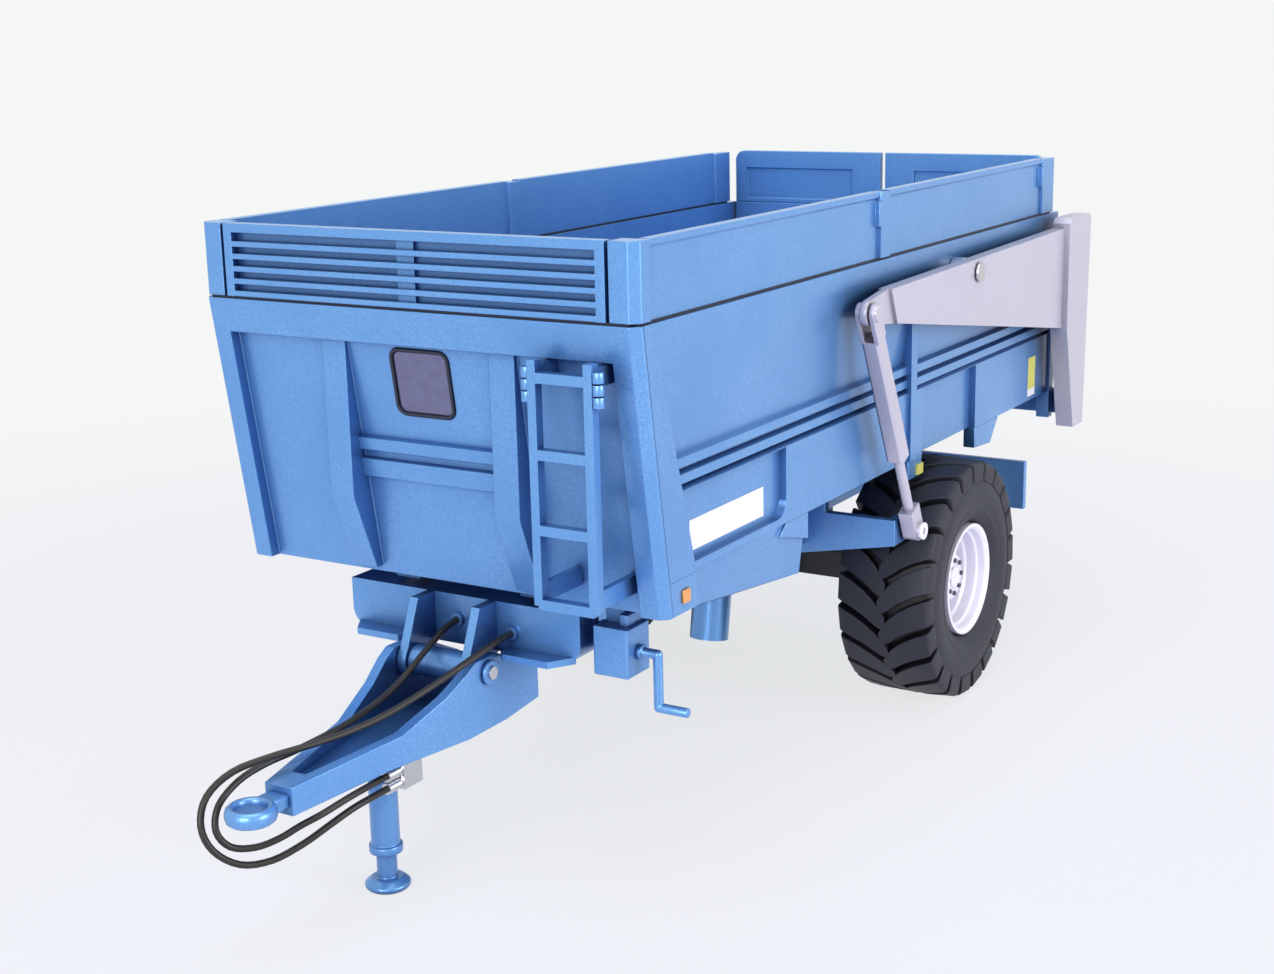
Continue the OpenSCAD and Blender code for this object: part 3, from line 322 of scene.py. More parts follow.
# %% What each CAD node is made of
finishes = {
    "blue_paint": blue_paint,
    "grey_paint": grey_paint,
    "rim_paint": rim_paint,
    "black_paint": black_paint,
    "bright_steel": bright_steel,
    "tyre_rubber": tyre_rubber,
    "smoked_window": smoked_window,
    "black_seal": seal_rubber,
    "amber_lens": amber_lens,
    "red_lens": red_lens,
    "hose_rubber": hose_rubber,
}
record = frame["record"]
slot_of = {row["node"]: row["material_slot"] for row in record["subparts"]}
body_of_node = {node: body for body, nodes in record["behaviour"]["bodies"].items() for node in nodes}
cord_nodes = set(record["physics"]["cord_nodes"])
print(len(slot_of), "nodes in", len(set(slot_of.values())), "finishes")

# %% Softened copies of the castings
MERGE = 0.002 * MM
SAME_PLANE = math.radians(0.6)
EDGE = 0.16 * MM
PRESSED_EDGE = 0.04 * MM
POST_SIDE = 20 * MM
MADE_BELOW = ("tyre_left", "tyre_right", "rim_left", "rim_right", "towing_eye", "brake_box", "front_louvre")


def without_middle(shape, beyond):
    """Deletes each solid with a face that is nearer to the trailer's middle than a half width."""
    while True:
        middle_face = next((f for f in shape.faces if abs(f.calc_center_median().y) < beyond), None)
        if middle_face is None:
            return
        solid = {middle_face}
        edge_of_solid = [middle_face]
        while edge_of_solid:
            near = {f for e in edge_of_solid.pop().edges for f in e.link_faces} - solid
            solid |= near
            edge_of_solid += near
        bmesh.ops.delete(shape, geom=list(solid), context="FACES")


def soften(node, width, slot, beyond=0.0):
    """A copy of a CAD node with soft edges, or only of its solids beyond a half width."""
    mesh = frame["nodes"][node].data.copy()
    mesh.name = node + "_cast"
    shape = bmesh.new()
    shape.from_mesh(mesh)
    bmesh.ops.remove_doubles(shape, verts=shape.verts, dist=MERGE)
    if beyond:
        without_middle(shape, beyond)
    bmesh.ops.dissolve_limit(shape, angle_limit=SAME_PLANE, verts=shape.verts, edges=shape.edges)
    shape.to_mesh(mesh)
    shape.free()
    mesh.shade_smooth()
    mesh.materials.clear()
    mesh.materials.append(finishes[slot])
    piece = bpy.data.objects.new(node + "_cast", mesh)
    scene.collection.objects.link(piece)
    soft_edges(piece, width)
    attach(piece, body_of_node[node])
    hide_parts(node)


castings = [node for node in frame["nodes"] if node not in cord_nodes and node not in MADE_BELOW]
for node in castings:
    slot = "blue_paint" if node == "drawbar_pin" else slot_of[node]
    soften(node, PRESSED_EDGE if node.startswith("tub_side") else EDGE, slot)
soften("front_louvre", EDGE, "blue_paint", beyond=POST_SIDE)
print("softened", len(castings) + 1, "castings")

# %% [markdown]
# ## Wheels
# A tyre is a turned carcass with two rows of lugs that lean towards each other, the left row half a pitch
# behind the right one. The carcass and the rim are outlines turned about the axle. One lug is drawn by its
# stations, from the middle of the tread to the shoulder, and a node tree sets it round the carcass.

# %% A turned outline
AXLE = (-102, 21.3)
TRACK = 69.4
TURN_STEPS = 96
TURN_QUAD = ((0, 0), (1, 0), (1, 1), (0, 1))


def wheel_point(side, angle, radius, out):
    """A point on a wheel: an angle from ahead, a radius, and a way outwards from the wheel's middle."""
    across = side * (TRACK / 2 + out)
    return at(AXLE[0] + radius * math.cos(angle), across, AXLE[1] + radius * math.sin(angle))


def mesh_piece(name, points, faces, finish, merge=0.01):
    """A smooth mesh with its doubles merged and its faces outwards."""
    mesh = bpy.data.meshes.new(name)
    mesh.from_pydata(points, [], faces)
    shape = bmesh.new()
    shape.from_mesh(mesh)
    bmesh.ops.remove_doubles(shape, verts=shape.verts, dist=merge * MM)
    bmesh.ops.recalc_face_normals(shape, faces=shape.faces)
    shape.to_mesh(mesh)
    shape.free()
    mesh.shade_smooth()
    mesh.materials.append(finish)
    piece = bpy.data.objects.new(name, mesh)
    scene.collection.objects.link(piece)
    return piece


def turned(name, point_at, outline, finish):
    """A closed outline of radius and way along the axis that the point function knows, turned about it."""
    count = len(outline)
    angles = [2 * math.pi * i / TURN_STEPS for i in range(TURN_STEPS)]
    points = [point_at(angle, *corner) for angle in angles for corner in outline]
    faces = [[(i + a) % TURN_STEPS * count + (k + b) % count for a, b in TURN_QUAD]
             for i in range(TURN_STEPS) for k in range(count)]
    return mesh_piece(name, points, faces, finish)


print("outlines are turned in", TURN_STEPS, "steps")

# %% Rims
RIM_OUTLINE = [
    (1.7, -3.0), (3.5, -3.0), (3.5, 0.6), (8.3, -0.4), (8.6, -1.0), (8.6, -7.2), (9.2, -7.7), (9.9, -7.7),
    (9.9, 7.7), (9.3, 7.7), (8.8, 7.1), (8.7, 5.9), (8.2, 5.7), (8.1, 4.0), (7.5, 3.7), (7.3, 2.3),
    (6.9, 1.8), (4.7, 2.0), (4.3, 2.4), (4.2, 4.3), (3.9, 4.7), (2.0, 4.8), (1.9, 5.1), (1.5, 5.2),
    (0.0, 5.2), (0.0, 4.4), (1.7, 4.4)]
RIM_EDGE = 0.12 * MM
for side, hand in SIDES:
    rim = turned("rim_" + hand + "_cast", partial(wheel_point, side), RIM_OUTLINE, rim_paint)
    soft_edges(rim, RIM_EDGE)
    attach(rim, "wheel_" + hand)
    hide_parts("rim_" + hand)
print("two rims of", len(RIM_OUTLINE), "corners")

# %% Tyre carcass and one lug
FACE = [
    (9.95, 6.4), (10.3, 7.0), (10.9, 7.4), (11.7, 7.7), (12.3, 8.0), (12.6, 8.12), (12.9, 8.04), (13.5, 8.18),
    (14.6, 8.38), (16.0, 8.42), (17.2, 8.3), (18.3, 7.8), (19.0, 7.0), (19.3, 6.0)]
CARCASS = FACE + [(19.4, 0.0)] + [(r, -y) for r, y in reversed(FACE)]
LUGS = 22
PITCH = 2 * math.pi / LUGS
LUG_STATIONS = [
    (-0.7, -0.035, 0.22, 21.25), (1.2, 0.055, 0.36, 21.3), (3.2, 0.135, 0.375, 21.28),
    (5.4, 0.195, 0.385, 21.2), (7.4, 0.235, 0.39, 21.0), (8.1, 0.245, 0.385, 20.7), (8.38, 0.25, 0.375, 19.9)]
LUG_ROOT = 18.7
SHOULDER = 8
SHOULDER_DROP = 1.2
LUG_DRAFT = 0.045
LUG_EDGE = 0.22 * MM
LUG_SIDES = ((0, 1, 5, 4), (2, 6, 7, 3), (0, 4, 6, 2), (1, 3, 7, 5))


def lug(name, side, row):
    """One lug of a row: stations of way outwards, lean, half width in pitches, and the top's radius."""
    points = []
    for out, lean, half, top in LUG_STATIONS:
        root = LUG_ROOT if out < SHOULDER else LUG_ROOT - SHOULDER_DROP
        for radius, wide in ((top, half), (root, half + LUG_DRAFT)):
            for hand in (-1, 1):
                points.append(wheel_point(side, lean + hand * wide * PITCH, radius, row * out))
    last = 4 * (len(LUG_STATIONS) - 1)
    faces = [[k + a for a in quad] for k in range(0, last, 4) for quad in LUG_SIDES]
    faces += [(0, 2, 3, 1), (last, last + 1, last + 3, last + 2)]
    piece = mesh_piece(name, points, faces, tyre_rubber)
    soft_edges(piece, LUG_EDGE)
    return piece


print("a carcass of", len(CARCASS), "corners and", 2 * LUGS, "lugs a tyre")

# %% [markdown]
# ## Node trees for what repeats
# Lugs, slats, nuts and studs repeat, so node trees set them. Each tree has named inputs, puts one shape on
# every point of a line or a circle, makes the copies real and gives them their finish. A use of a tree is
# turned to a plain mesh, because only real geometry is exported.

# %% Start, end and use of a tree
def tree_with(name, kinds):
    """A new tree with named inputs, their identifiers, and the sockets that hand them on."""
    tree = bpy.data.node_groups.new(name, "GeometryNodeTree")
    identifiers = {}
    for label, kind in kinds.items():
        socket = tree.interface.new_socket(label, in_out="INPUT", socket_type="NodeSocket" + kind)
        identifiers[label] = socket.identifier
    tree.interface.new_socket("Geometry", in_out="OUTPUT", socket_type="NodeSocketGeometry")
    return tree, identifiers, tree.nodes.new("NodeGroupInput").outputs


def hand_out(tree, copies, finish):
    """Ends a tree: the copies are made real, get their finish and leave the tree."""
    real = add(tree, "GeometryNodeRealizeInstances", {"Geometry": copies})
    coated = add(tree, "GeometryNodeSetMaterial", {"Geometry": real.outputs[0], "Material": finish})
    tree.links.new(coated.outputs[0], tree.nodes.new("NodeGroupOutput").inputs[0])
    print(tree.name, "has", len(tree.nodes), "nodes")


def use_of(tree, identifiers, name, values):
    """One use of a tree, as a piece with a plain mesh."""
    piece = bpy.data.objects.new(name, bpy.data.meshes.new(name))
    scene.collection.objects.link(piece)
    modifier = piece.modifiers.new("repeat", "NODES")
    modifier.node_group = tree
    for label, value in values.items():
        modifier[identifiers[label]] = value
    plain_mesh(piece)
    return piece


# %% Tree that sets a lug round the wheel
lug_kinds = {"Lug": "Object", "Count": "Int", "Start": "Float", "Middle": "Vector", "Rubber": "Material"}
lug_ring, lug_inputs, given = tree_with("lugs_round_a_wheel", lug_kinds)
one_lug = add(lug_ring, "GeometryNodeObjectInfo", {"Object": given["Lug"]})
to_axle = add(lug_ring, "ShaderNodeVectorMath", {0: given["Middle"], "Scale": -1.0}, operation="SCALE")
about_origin = {"Geometry": one_lug.outputs["Geometry"], "Translation": to_axle.outputs[0]}
centred = add(lug_ring, "GeometryNodeTransform", about_origin)
all_at_axle = {"Count": given["Count"], "Start Location": given["Middle"], "Offset": (0, 0, 0)}
places = add(lug_ring, "GeometryNodeMeshLine", all_at_axle)
number = add(lug_ring, "GeometryNodeInputIndex")
step = add(lug_ring, "ShaderNodeMath", {0: number.outputs[0], 1: given["Start"]}, operation="ADD")
angle = add(lug_ring, "ShaderNodeMath", {0: step.outputs[0], 1: PITCH}, operation="MULTIPLY")
about_axle = add(lug_ring, "ShaderNodeCombineXYZ", {"Y": angle.outputs[0]})
turned_copies = {
    "Points": places.outputs["Mesh"],
    "Instance": centred.outputs["Geometry"],
    "Rotation": about_axle.outputs[0],
}
ring = add(lug_ring, "GeometryNodeInstanceOnPoints", turned_copies)
hand_out(lug_ring, ring.outputs[0], given["Rubber"])


# %% Tyres
def lug_row(name, one, side, start):
    """A ring of one lug as a plain mesh."""
    hub = at(AXLE[0], side * TRACK / 2, AXLE[1])
    values = {"Lug": one, "Count": LUGS, "Start": start, "Middle": hub, "Rubber": tyre_rubber}
    holder = use_of(lug_ring, lug_inputs, name, values)
    ring_mesh = holder.data
    bpy.data.objects.remove(holder)
    bpy.data.objects.remove(one)
    return ring_mesh


for side, hand in SIDES:
    tyre = turned("tyre_" + hand + "_moulded", partial(wheel_point, side), CARCASS, tyre_rubber)
    shape = bmesh.new()
    shape.from_mesh(tyre.data)
    for row, start in ((1, 0.0), (-1, 0.5)):
        shape.from_mesh(lug_row("lug_row", lug("lug", side, row), side, start))
    shape.to_mesh(tyre.data)
    shape.free()
    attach(tyre, "wheel_" + hand)
    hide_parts("tyre_" + hand)
    print(tyre.name, "has", len(tyre.data.polygons), "faces")

# %% [markdown]
# ## Front louvre
# The louvre between the front posts is a folded frame with five thin slats and a strap behind them. The
# frame is a few plain boxes with softened edges. The slats are one box on each point of a short line.

# %% Boxes with softened edges
BOX_FACES = ((0, 1, 3, 2), (4, 6, 7, 5), (0, 4, 5, 1), (2, 3, 7, 6), (0, 2, 6, 4), (1, 5, 7, 3))


def box_points(low, high):
    """The eight corners of a box that is given by two opposite ones."""
    return [at(x, y, z) for x in (low[0], high[0]) for y in (low[1], high[1]) for z in (low[2], high[2])]


def blocks(name, corners, finish, body, edge=0.1):
    """Boxes given by two opposite corners, as one mesh with softened edges."""
    points = []
    faces = []
    for low, high in corners:
        start = len(points)
        points += box_points(low, high)
        faces += [[start + k for k in quad] for quad in BOX_FACES]
    piece = mesh_piece(name, points, faces, finish, merge=0)
    soft_edges(piece, edge * MM)
    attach(piece, body)
    return piece


print("a box has", len(BOX_FACES), "faces")

# %% Louvre frame
LOUVRE_X = -0.2
LOUVRE_Y = 32.3
LOUVRE_LOW = 80.8
LOUVRE_TOP = 91.3
SIDE_FOLD = 1.5
STRAP_HALF = 1.5
sheet_back = LOUVRE_X - 1.8
sheet_face = LOUVRE_X - 1.3
fold_back = LOUVRE_X - 1.4
strap_face = LOUVRE_X - 0.7
top_fold = LOUVRE_TOP - 1.3
under_fold = LOUVRE_TOP - 1.2
blocks("louvre_frame", [
    ((sheet_back, -LOUVRE_Y, LOUVRE_LOW), (sheet_face, LOUVRE_Y, LOUVRE_TOP)),
    ((fold_back, -LOUVRE_Y, top_fold), (LOUVRE_X, LOUVRE_Y, LOUVRE_TOP)),
    ((fold_back, -LOUVRE_Y, LOUVRE_LOW), (LOUVRE_X, -LOUVRE_Y + SIDE_FOLD, under_fold)),
    ((fold_back, LOUVRE_Y - SIDE_FOLD, LOUVRE_LOW), (LOUVRE_X, LOUVRE_Y, under_fold)),
    ((fold_back, -STRAP_HALF, LOUVRE_LOW), (strap_face, STRAP_HALF, under_fold))],
    blue_paint, "tub")
print("louvre frame", 2 * LOUVRE_Y, "mm wide")

# %% Tree for a row of slats
slat_kinds = {"Count": "Int", "First": "Vector", "Step": "Vector", "Size": "Vector", "Paint": "Material"}
slat_row, slat_inputs, given = tree_with("row_of_slats", slat_kinds)
upwards = {"Count": given["Count"], "Start Location": given["First"], "Offset": given["Step"]}
places = add(slat_row, "GeometryNodeMeshLine", upwards)
one_slat = add(slat_row, "GeometryNodeMeshCube", {"Size": given["Size"]})
copies = {"Points": places.outputs["Mesh"], "Instance": one_slat.outputs["Mesh"]}
row = add(slat_row, "GeometryNodeInstanceOnPoints", copies)
hand_out(slat_row, row.outputs[0], given["Paint"])

# %% Slats
SLATS = 5
SLAT_STEP = 1.78
SLAT_DEEP = 1.0
SLAT_HIGH = 0.82
SLAT_EDGE = 0.12 * MM
slat_wide = 2 * LOUVRE_Y - 2.8
slat_values = {
    "Count": SLATS,
    "First": at(LOUVRE_X - 0.5, 0, LOUVRE_LOW + 0.45),
    "Step": (0, 0, SLAT_STEP * MM),
    "Size": (SLAT_DEEP * MM, slat_wide * MM, SLAT_HIGH * MM),
    "Paint": blue_paint,
}
slats = use_of(slat_row, slat_inputs, "louvre_slats", slat_values)
soft_edges(slats, SLAT_EDGE)
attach(slats, "tub")
print("louvre with", SLATS, "slats")

# %% [markdown]
# ## Front beads
# Two shallow beads are pressed across the front panel to stiffen it. The panel leans, so a bead is drawn by
# its outline in height and way out of the panel, and each corner is moved back by the lean at its height.

# %% Front beads
FRONT_SLOPE = 0.153
TUB_TOP = 80.5
PANEL_SET = 1.8
BEAD_HALF = 12.5
BEAD_ROOT = -0.3
BEAD_FLANK = 0.35
BEAD_EDGE = 0.14 * MM
BEAD_FACES = ((0, 1, 2, 3), (4, 7, 6, 5), (0, 4, 5, 1), (1, 5, 6, 2), (2, 6, 7, 3), (3, 7, 4, 0))


def front_bead(name, low, high, proud):
    """A pressed strip across the front panel between its ribs, standing a little proud of it."""
    outline = [(low, BEAD_ROOT), (low + BEAD_FLANK, proud), (high - BEAD_FLANK, proud), (high, BEAD_ROOT)]
    points = [at(out - PANEL_SET - FRONT_SLOPE * (TUB_TOP - z), y, z)
              for y in (-BEAD_HALF, BEAD_HALF) for z, out in outline]
    piece = mesh_piece(name, points, BEAD_FACES, blue_paint)
    soft_edges(piece, BEAD_EDGE)
    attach(piece, "tub")


front_bead("front_bead_upper", 59.0, 61.5, 1.0)
front_bead("front_bead_lower", 54.9, 58.3, 0.95)
print("two beads across the front panel")

# %% [markdown]
# ## Towing eye and brake box
# The eye is a turned ring on a short neck, with its bore upright. The brake's screw sits in a slim box on a
# plate.

# %% Towing eye
EYE = (36, 21.1)
EYE_OUTLINE = [
    (2.2, -0.8), (2.4, -1.05), (2.9, -1.1), (3.25, -0.8), (3.4, -0.3), (3.4, 0.3), (3.25, 0.8), (2.9, 1.1),
    (2.4, 1.05), (2.2, 0.8)]
NOSE_X = 30.6
NECK_END = EYE[0] - 2.7
NECK_HALF = 1.7
NECK_RISE = 0.95


def eye_point(angle, radius, up):
    """A point on the towing eye, which stands with its bore upright."""
    return at(EYE[0] + radius * math.cos(angle), radius * math.sin(angle), EYE[1] + up)


eye = turned("towing_eye_ring", eye_point, EYE_OUTLINE, blue_paint)
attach(eye, "chassis")
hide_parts("towing_eye")
neck = ((NOSE_X, -NECK_HALF, EYE[1] - NECK_RISE), (NECK_END, NECK_HALF, EYE[1] + NECK_RISE))
blocks("towing_eye_neck", [neck], blue_paint, "chassis", edge=0.3)
print("towing eye and its neck")

# %% Brake box
BRAKE_HOUSING = ((-16, 22.6, 29.1), (-10, 28.3, 36.4))
BRAKE_PLATE = ((-16, 20.6, 30.4), (-14.4, 22.8, 35.4))
BRAKE_SCREW = ((-13.7, 23.4, 36.2), (-12.3, 26.6, 38.8))
BRAKE_GUIDE = ((-15.4, 26.2, 36.2), (-11.2, 27.6, 38.2))
brake_blocks = [BRAKE_HOUSING, BRAKE_PLATE, BRAKE_SCREW, BRAKE_GUIDE]
brake_box = blocks("brake_box_cast", brake_blocks, blue_paint, "chassis", edge=0.3)
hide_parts("brake_box")
print("brake box of", len(brake_blocks), "blocks")

# %% [markdown]
# ## Weld along the tailgate's lower beam
# The tailgate's panel is welded to its lower beam. The solids leave a narrow slit there, so a thin strip of
# the same paint lies along it as the weld. It takes its place from the panel's own box.

# %% Weld along the tailgate's lower beam
STAY = 0.8
WELD = 0.6
WELD_BACK = 0.1
WELD_FRONT = 0.05
panel_low, panel_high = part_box("tailgate_panel")
weld_x = (panel_low.x - tub_front_x) / MM
weld_y = panel_high.y / MM
weld_z = panel_low.z / MM
weld_low = (weld_x - WELD_BACK, -weld_y, weld_z - WELD)
weld_high = (weld_x + STAY + WELD_FRONT, weld_y, weld_z + WELD / 2)
blocks("tailgate_weld", [(weld_low, weld_high)], blue_paint, "tailgate", edge=0.1)
print("weld along", round(2 * weld_y, 1), "mm")

# %% [markdown]
# ## Joint between the tub's rail and the boards
# The boards stand on the tub's rail with a dark joint between them. The solids leave a thin gap there, and
# light would come through it, so a flat strip in the black seal finish lies in the gap along both sides and
# the front: its dark tone is painted shade, standing in for the shade in the joint.

# %% Dark joint between the tub's rail and the boards
RAIL_IN = 34.4
RAIL_OUT = 37.0
JOINT_IN = 0.5
JOINT_LAP = 0.05
JOINT_CORNER = 1
joint_low = TUB_TOP - JOINT_LAP
joint_top = LOUVRE_LOW + JOINT_LAP
joint_back = (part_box("side_boards_left")[0].x - tub_front_x) / MM + JOINT_IN
joint_front = -JOINT_IN
joint_out = RAIL_OUT - JOINT_IN
joint_in = RAIL_IN + JOINT_IN
side_end = joint_front - JOINT_CORNER
front_end = joint_out - JOINT_CORNER
# The strip is painted shade: a dark sheet where the joint holds only shade.
blocks("board_joint", [
    ((joint_back, joint_in, joint_low), (side_end, joint_out, joint_top)),
    ((joint_back, -joint_out, joint_low), (side_end, -joint_in, joint_top)),
    ((side_end, -front_end, joint_low), (joint_front, front_end, joint_top))],
    seal_rubber, "tub", edge=0.02)
print("joint from", round(joint_back, 1), "to", joint_front, "mm")

# %% [markdown]
# ## Pin heads and washers
# A washer holds each side cylinder's rod on its pin, and the drawbar's pin ends in a round head on both
# sides. Each is a small outline turned about an axis that lies across the trailer, and sunk a little into
# what carries it.

# %% Pin heads and washers
ROD_EYE = (-81.2, 35.1)
WASHER_OUTER = 1.45
WASHER_BORE = 0.6
WASHER_THICK = 0.5
WASHER_SUNK = 0.2
DRAWBAR_PIN = (-5, 28.6)
PIN_END = 8.7
PIN_HEAD = 0.95
PIN_CENTRE = 0.02
PIN_HEAD_THICK = 0.3
WASHER_EDGE = 0.08 * MM


def washer_point(place, angle, radius, out):
    """A point on a washer, by its angle, its radius and its way across."""
    return at(place[0] + radius * math.cos(angle), place[1] + out, place[2] + radius * math.sin(angle))


def washer(name, body, finish, place, outer, inner, thick):
    """A round washer whose axis lies across the trailer."""
    outline = [(inner, 0), (outer, 0), (outer, thick), (inner, thick)]
    piece = turned(name, partial(washer_point, place), outline, finish)
    soft_edges(piece, WASHER_EDGE)
    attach(piece, body)


for side, hand in SIDES:
    eye_low, eye_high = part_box("rod_" + hand)
    rod_out = (eye_high.y if side > 0 else eye_low.y) / MM
    washer_start = rod_out - (WASHER_SUNK if side > 0 else WASHER_THICK - WASHER_SUNK)
    washer("rod_washer_" + hand, "rod_" + hand, rim_paint,
           (ROD_EYE[0], washer_start, ROD_EYE[1]), WASHER_OUTER, WASHER_BORE, WASHER_THICK)
    head_start = side * PIN_END - (0.0 if side > 0 else PIN_HEAD_THICK)
    washer("drawbar_pin_head_" + hand, "chassis", bright_steel,
           (DRAWBAR_PIN[0], head_start, DRAWBAR_PIN[1]), PIN_HEAD, PIN_CENTRE, PIN_HEAD_THICK)
print("washers and pin heads on both sides")

# %% [markdown]
# ## The hoses
# Two rubber hoses leave the front beam, lie along the drawbar, pass beside the towing eye and hang back to
# their couplers. A hose is one curve with a round section; its points are the ones that the CAD tube
# follows.

# %% Hose routes
HOSE_D = 0.95
HOSE_STEPS = 4
hose_left_route = [
    (-9.4, 9, 33.2), (-6.6, 8.9, 33), (-3.4, 8.3, 32.2), (2.2, 6.8, 30.4), (8.6, 5.2, 28.6), (14, 3.8, 27.4),
    (19, 2.2, 26.7), (24, 0.2, 26.3), (29, -2.6, 25.8), (33.5, -5.2, 24.8), (37, -6.6, 22.4),
    (38.6, -6.4, 19), (38, -5.2, 15.6), (35.6, -3, 13.2), (32, -0.8, 12.8), (28, 1.2, 14), (24.6, 2.8, 15.6),
    (21, 4, 16.9), (17.6, 4.5, 17.3), (14.6, 4.5, 17.3)]
hose_right_route = [
    (-9.4, -0.6, 33.9), (-6.2, -0.6, 33.2), (-1.4, -0.6, 31.2), (4.4, -0.8, 28.4), (9, -1, 27),
    (14, -1.2, 26.1), (19, -1.6, 25.6), (24, -2.8, 24.9), (28.5, -4.2, 24.3), (32.5, -5.2, 23.2),
    (36, -5.6, 21), (37.2, -5.2, 18), (36, -4, 15.6), (33.4, -2.2, 14.9), (30.8, -0.4, 15.5),
    (28.6, 1.4, 16.8), (26, 3, 17.8), (22, 4, 18.7), (18, 4.5, 19.1), (14.6, 4.5, 19.1)]
print("routes of", len(hose_left_route), "and", len(hose_right_route), "points")


# %% Hoses
def smooth_route(points, steps):
    """A Catmull-Rom curve through the points, with a few steps in each span."""
    ends = [points[0] * 2 - points[1]] + points + [points[-1] * 2 - points[-2]]
    line = []
    for i in range(1, len(points)):
        a, b, c, d = ends[i - 1:i + 3]
        for k in range(steps):
            t = k / steps
            line.append(0.5 * (2 * b + (c - a) * t + (2 * a - 5 * b + 4 * c - d) * t ** 2
                               + (3 * b - a - 3 * c + d) * t ** 3))
    return line + [points[-1]]


def make_hose(name, route):
    """One open curve with a round section, as a hose."""
    line = smooth_route([at(*p) for p in route], HOSE_STEPS)
    curve = bpy.data.curves.new(name, "CURVE")
    curve.dimensions = "3D"
    curve.bevel_depth = HOSE_D / 2 * MM
    curve.bevel_resolution = 4
    curve.use_fill_caps = True
    spline = curve.splines.new("POLY")
    spline.points.add(len(line) - 1)
    for point, place in zip(spline.points, line):
        point.co = (*place, 1)
    spline.use_smooth = True
    hose = bpy.data.objects.new(name + "_rubber", curve)
    scene.collection.objects.link(hose)
    curve.materials.append(hose_rubber)
    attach(hose, "chassis")
    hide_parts(name)


make_hose("hose_left", hose_left_route)
make_hose("hose_right", hose_right_route)

# %% [markdown]
# ## Rings and rows of small fasteners
# Wheel nuts stand in a ring and the tailgate's studs in a row. One function builds both trees: it sets a
# small prism on every point of a circle or of a line, and turns and moves the whole set into place.

# %% Node trees for a ring and a row
prism_kinds = {
    "Count": "Int",
    "Spread": "Float",
    "Radius": "Float",
    "Height": "Float",
    "Sides": "Int",
    "Place": "Vector",
    "Turn": "Rotation",
    "Finish": "Material",
}


def prism_tree(name, ring):
    """A tree that sets prisms on a ring of points, or on a row of them."""
    tree, identifiers, given = tree_with(name, prism_kinds)
    if ring:
        circle = {"Vertices": given["Count"], "Radius": given["Spread"]}
        points = add(tree, "GeometryNodeMeshCircle", circle)
    else:
        step = add(tree, "ShaderNodeCombineXYZ", {"X": given["Spread"]})
        points = add(tree, "GeometryNodeMeshLine", {"Count": given["Count"], "Offset": step.outputs[0]})
    sizes = {"Vertices": given["Sides"], "Radius": given["Radius"], "Depth": given["Height"]}
    prism = add(tree, "GeometryNodeMeshCylinder", sizes)
    copies = {"Points": points.outputs["Mesh"], "Instance": prism.outputs["Mesh"]}
    placed = add(tree, "GeometryNodeInstanceOnPoints", copies)
    whole_set = {"Geometry": placed.outputs[0], "Translation": given["Place"], "Rotation": given["Turn"]}
    moved = add(tree, "GeometryNodeTransform", whole_set)
    hand_out(tree, moved.outputs[0], given["Finish"])
    return tree, identifiers


ring_tree = prism_tree("ring_of_prisms", ring=True)
row_tree = prism_tree("row_of_prisms", ring=False)


# %% Wheel nuts and tailgate studs
def fasteners(name, tree, body, slot, **values):
    """One use of a tree as a plain mesh that rides on a body."""
    piece = use_of(*tree, name, values)
    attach(piece, body)
    print(name, "has", len(piece.data.polygons), "faces")


# The wheel nuts are drawn in the dark steel: painted shade of the bolt holes round the hub.
nut_out = TRACK / 2 + 4.8
nut_turn = (math.radians(90), 0, 0)
nut = {"Count": 8, "Spread": 3.0 * MM, "Radius": 0.42 * MM, "Height": 0.8 * MM, "Sides": 6}
for side, hand in SIDES:
    wheel = "wheel_" + hand
    nut_ring = at(AXLE[0], side * nut_out, AXLE[1])
    fasteners(wheel + "_nuts", ring_tree, wheel, "bright_steel", **nut, Place=nut_ring, Turn=nut_turn,
              Finish=nut_shade_steel)
stud_turn = (0, math.radians(-90), 0)
stud = {"Count": 3, "Spread": 15.7 * MM, "Radius": 0.7 * MM, "Height": 0.9 * MM, "Sides": 16}
for side, hand in SIDES:
    lowest_stud = at(-162.4, side * 40.9, 47.4)
    fasteners("post_studs_" + hand, row_tree, "tailgate", "grey_paint", **stud, Place=lowest_stud,
              Turn=stud_turn, Finish=grey_paint)

# %% [markdown]
# ## Labels and small reflectors
# A white label fills most of the pressed pocket, and a yellow one stands near the rear corner. Both are
# plain film, laid on the paint with almost no thickness, so a thin plate is enough.

# %% Labels and reflectors
POCKET_Y = 35.2
PANEL_Y = 36.6
FILM = 0.06
REFLECTOR = 0.4


def film(name, body, finish, across, low, high):
    """A thin plate across a side, between two corners of length and height."""
    mesh = bpy.data.meshes.new(name)
    mesh.from_pydata(box_points((low[0], across[0], low[1]), (high[0], across[1], high[1])), [], BOX_FACES)
    shape = bmesh.new()
    shape.from_mesh(mesh)
    bmesh.ops.recalc_face_normals(shape, faces=shape.faces)
    shape.to_mesh(mesh)
    shape.free()
    mesh.materials.append(finish)
    piece = bpy.data.objects.new(name, mesh)
    scene.collection.objects.link(piece)
    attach(piece, body)


def outward(side, y, thick):
    """The inner and the outer face of a film on one side, in rising order."""
    return sorted((side * y, side * (y + thick)))


for side, hand in SIDES:
    in_pocket = outward(side, POCKET_Y, FILM)
    film("label_" + hand, "tub", white_film, in_pocket, (-37.4, 47.2), (-15.6, 51.6))
    on_panel = outward(side, PANEL_Y, FILM)
    film("sticker_" + hand, "tub", yellow_film, on_panel, (-149.4, 47.2), (-145.6, 53.4))
    film("sticker_foot_" + hand, "tub", white_film, on_panel, (-149.4, 45.8), (-145.6, 47.2))
    raised = outward(side, PANEL_Y, REFLECTOR)
    film("side_reflector_" + hand, "tub", yellow_film, raised, (-93.2, 42.0), (-90.8, 43.8))
print("labels and reflectors on both sides")

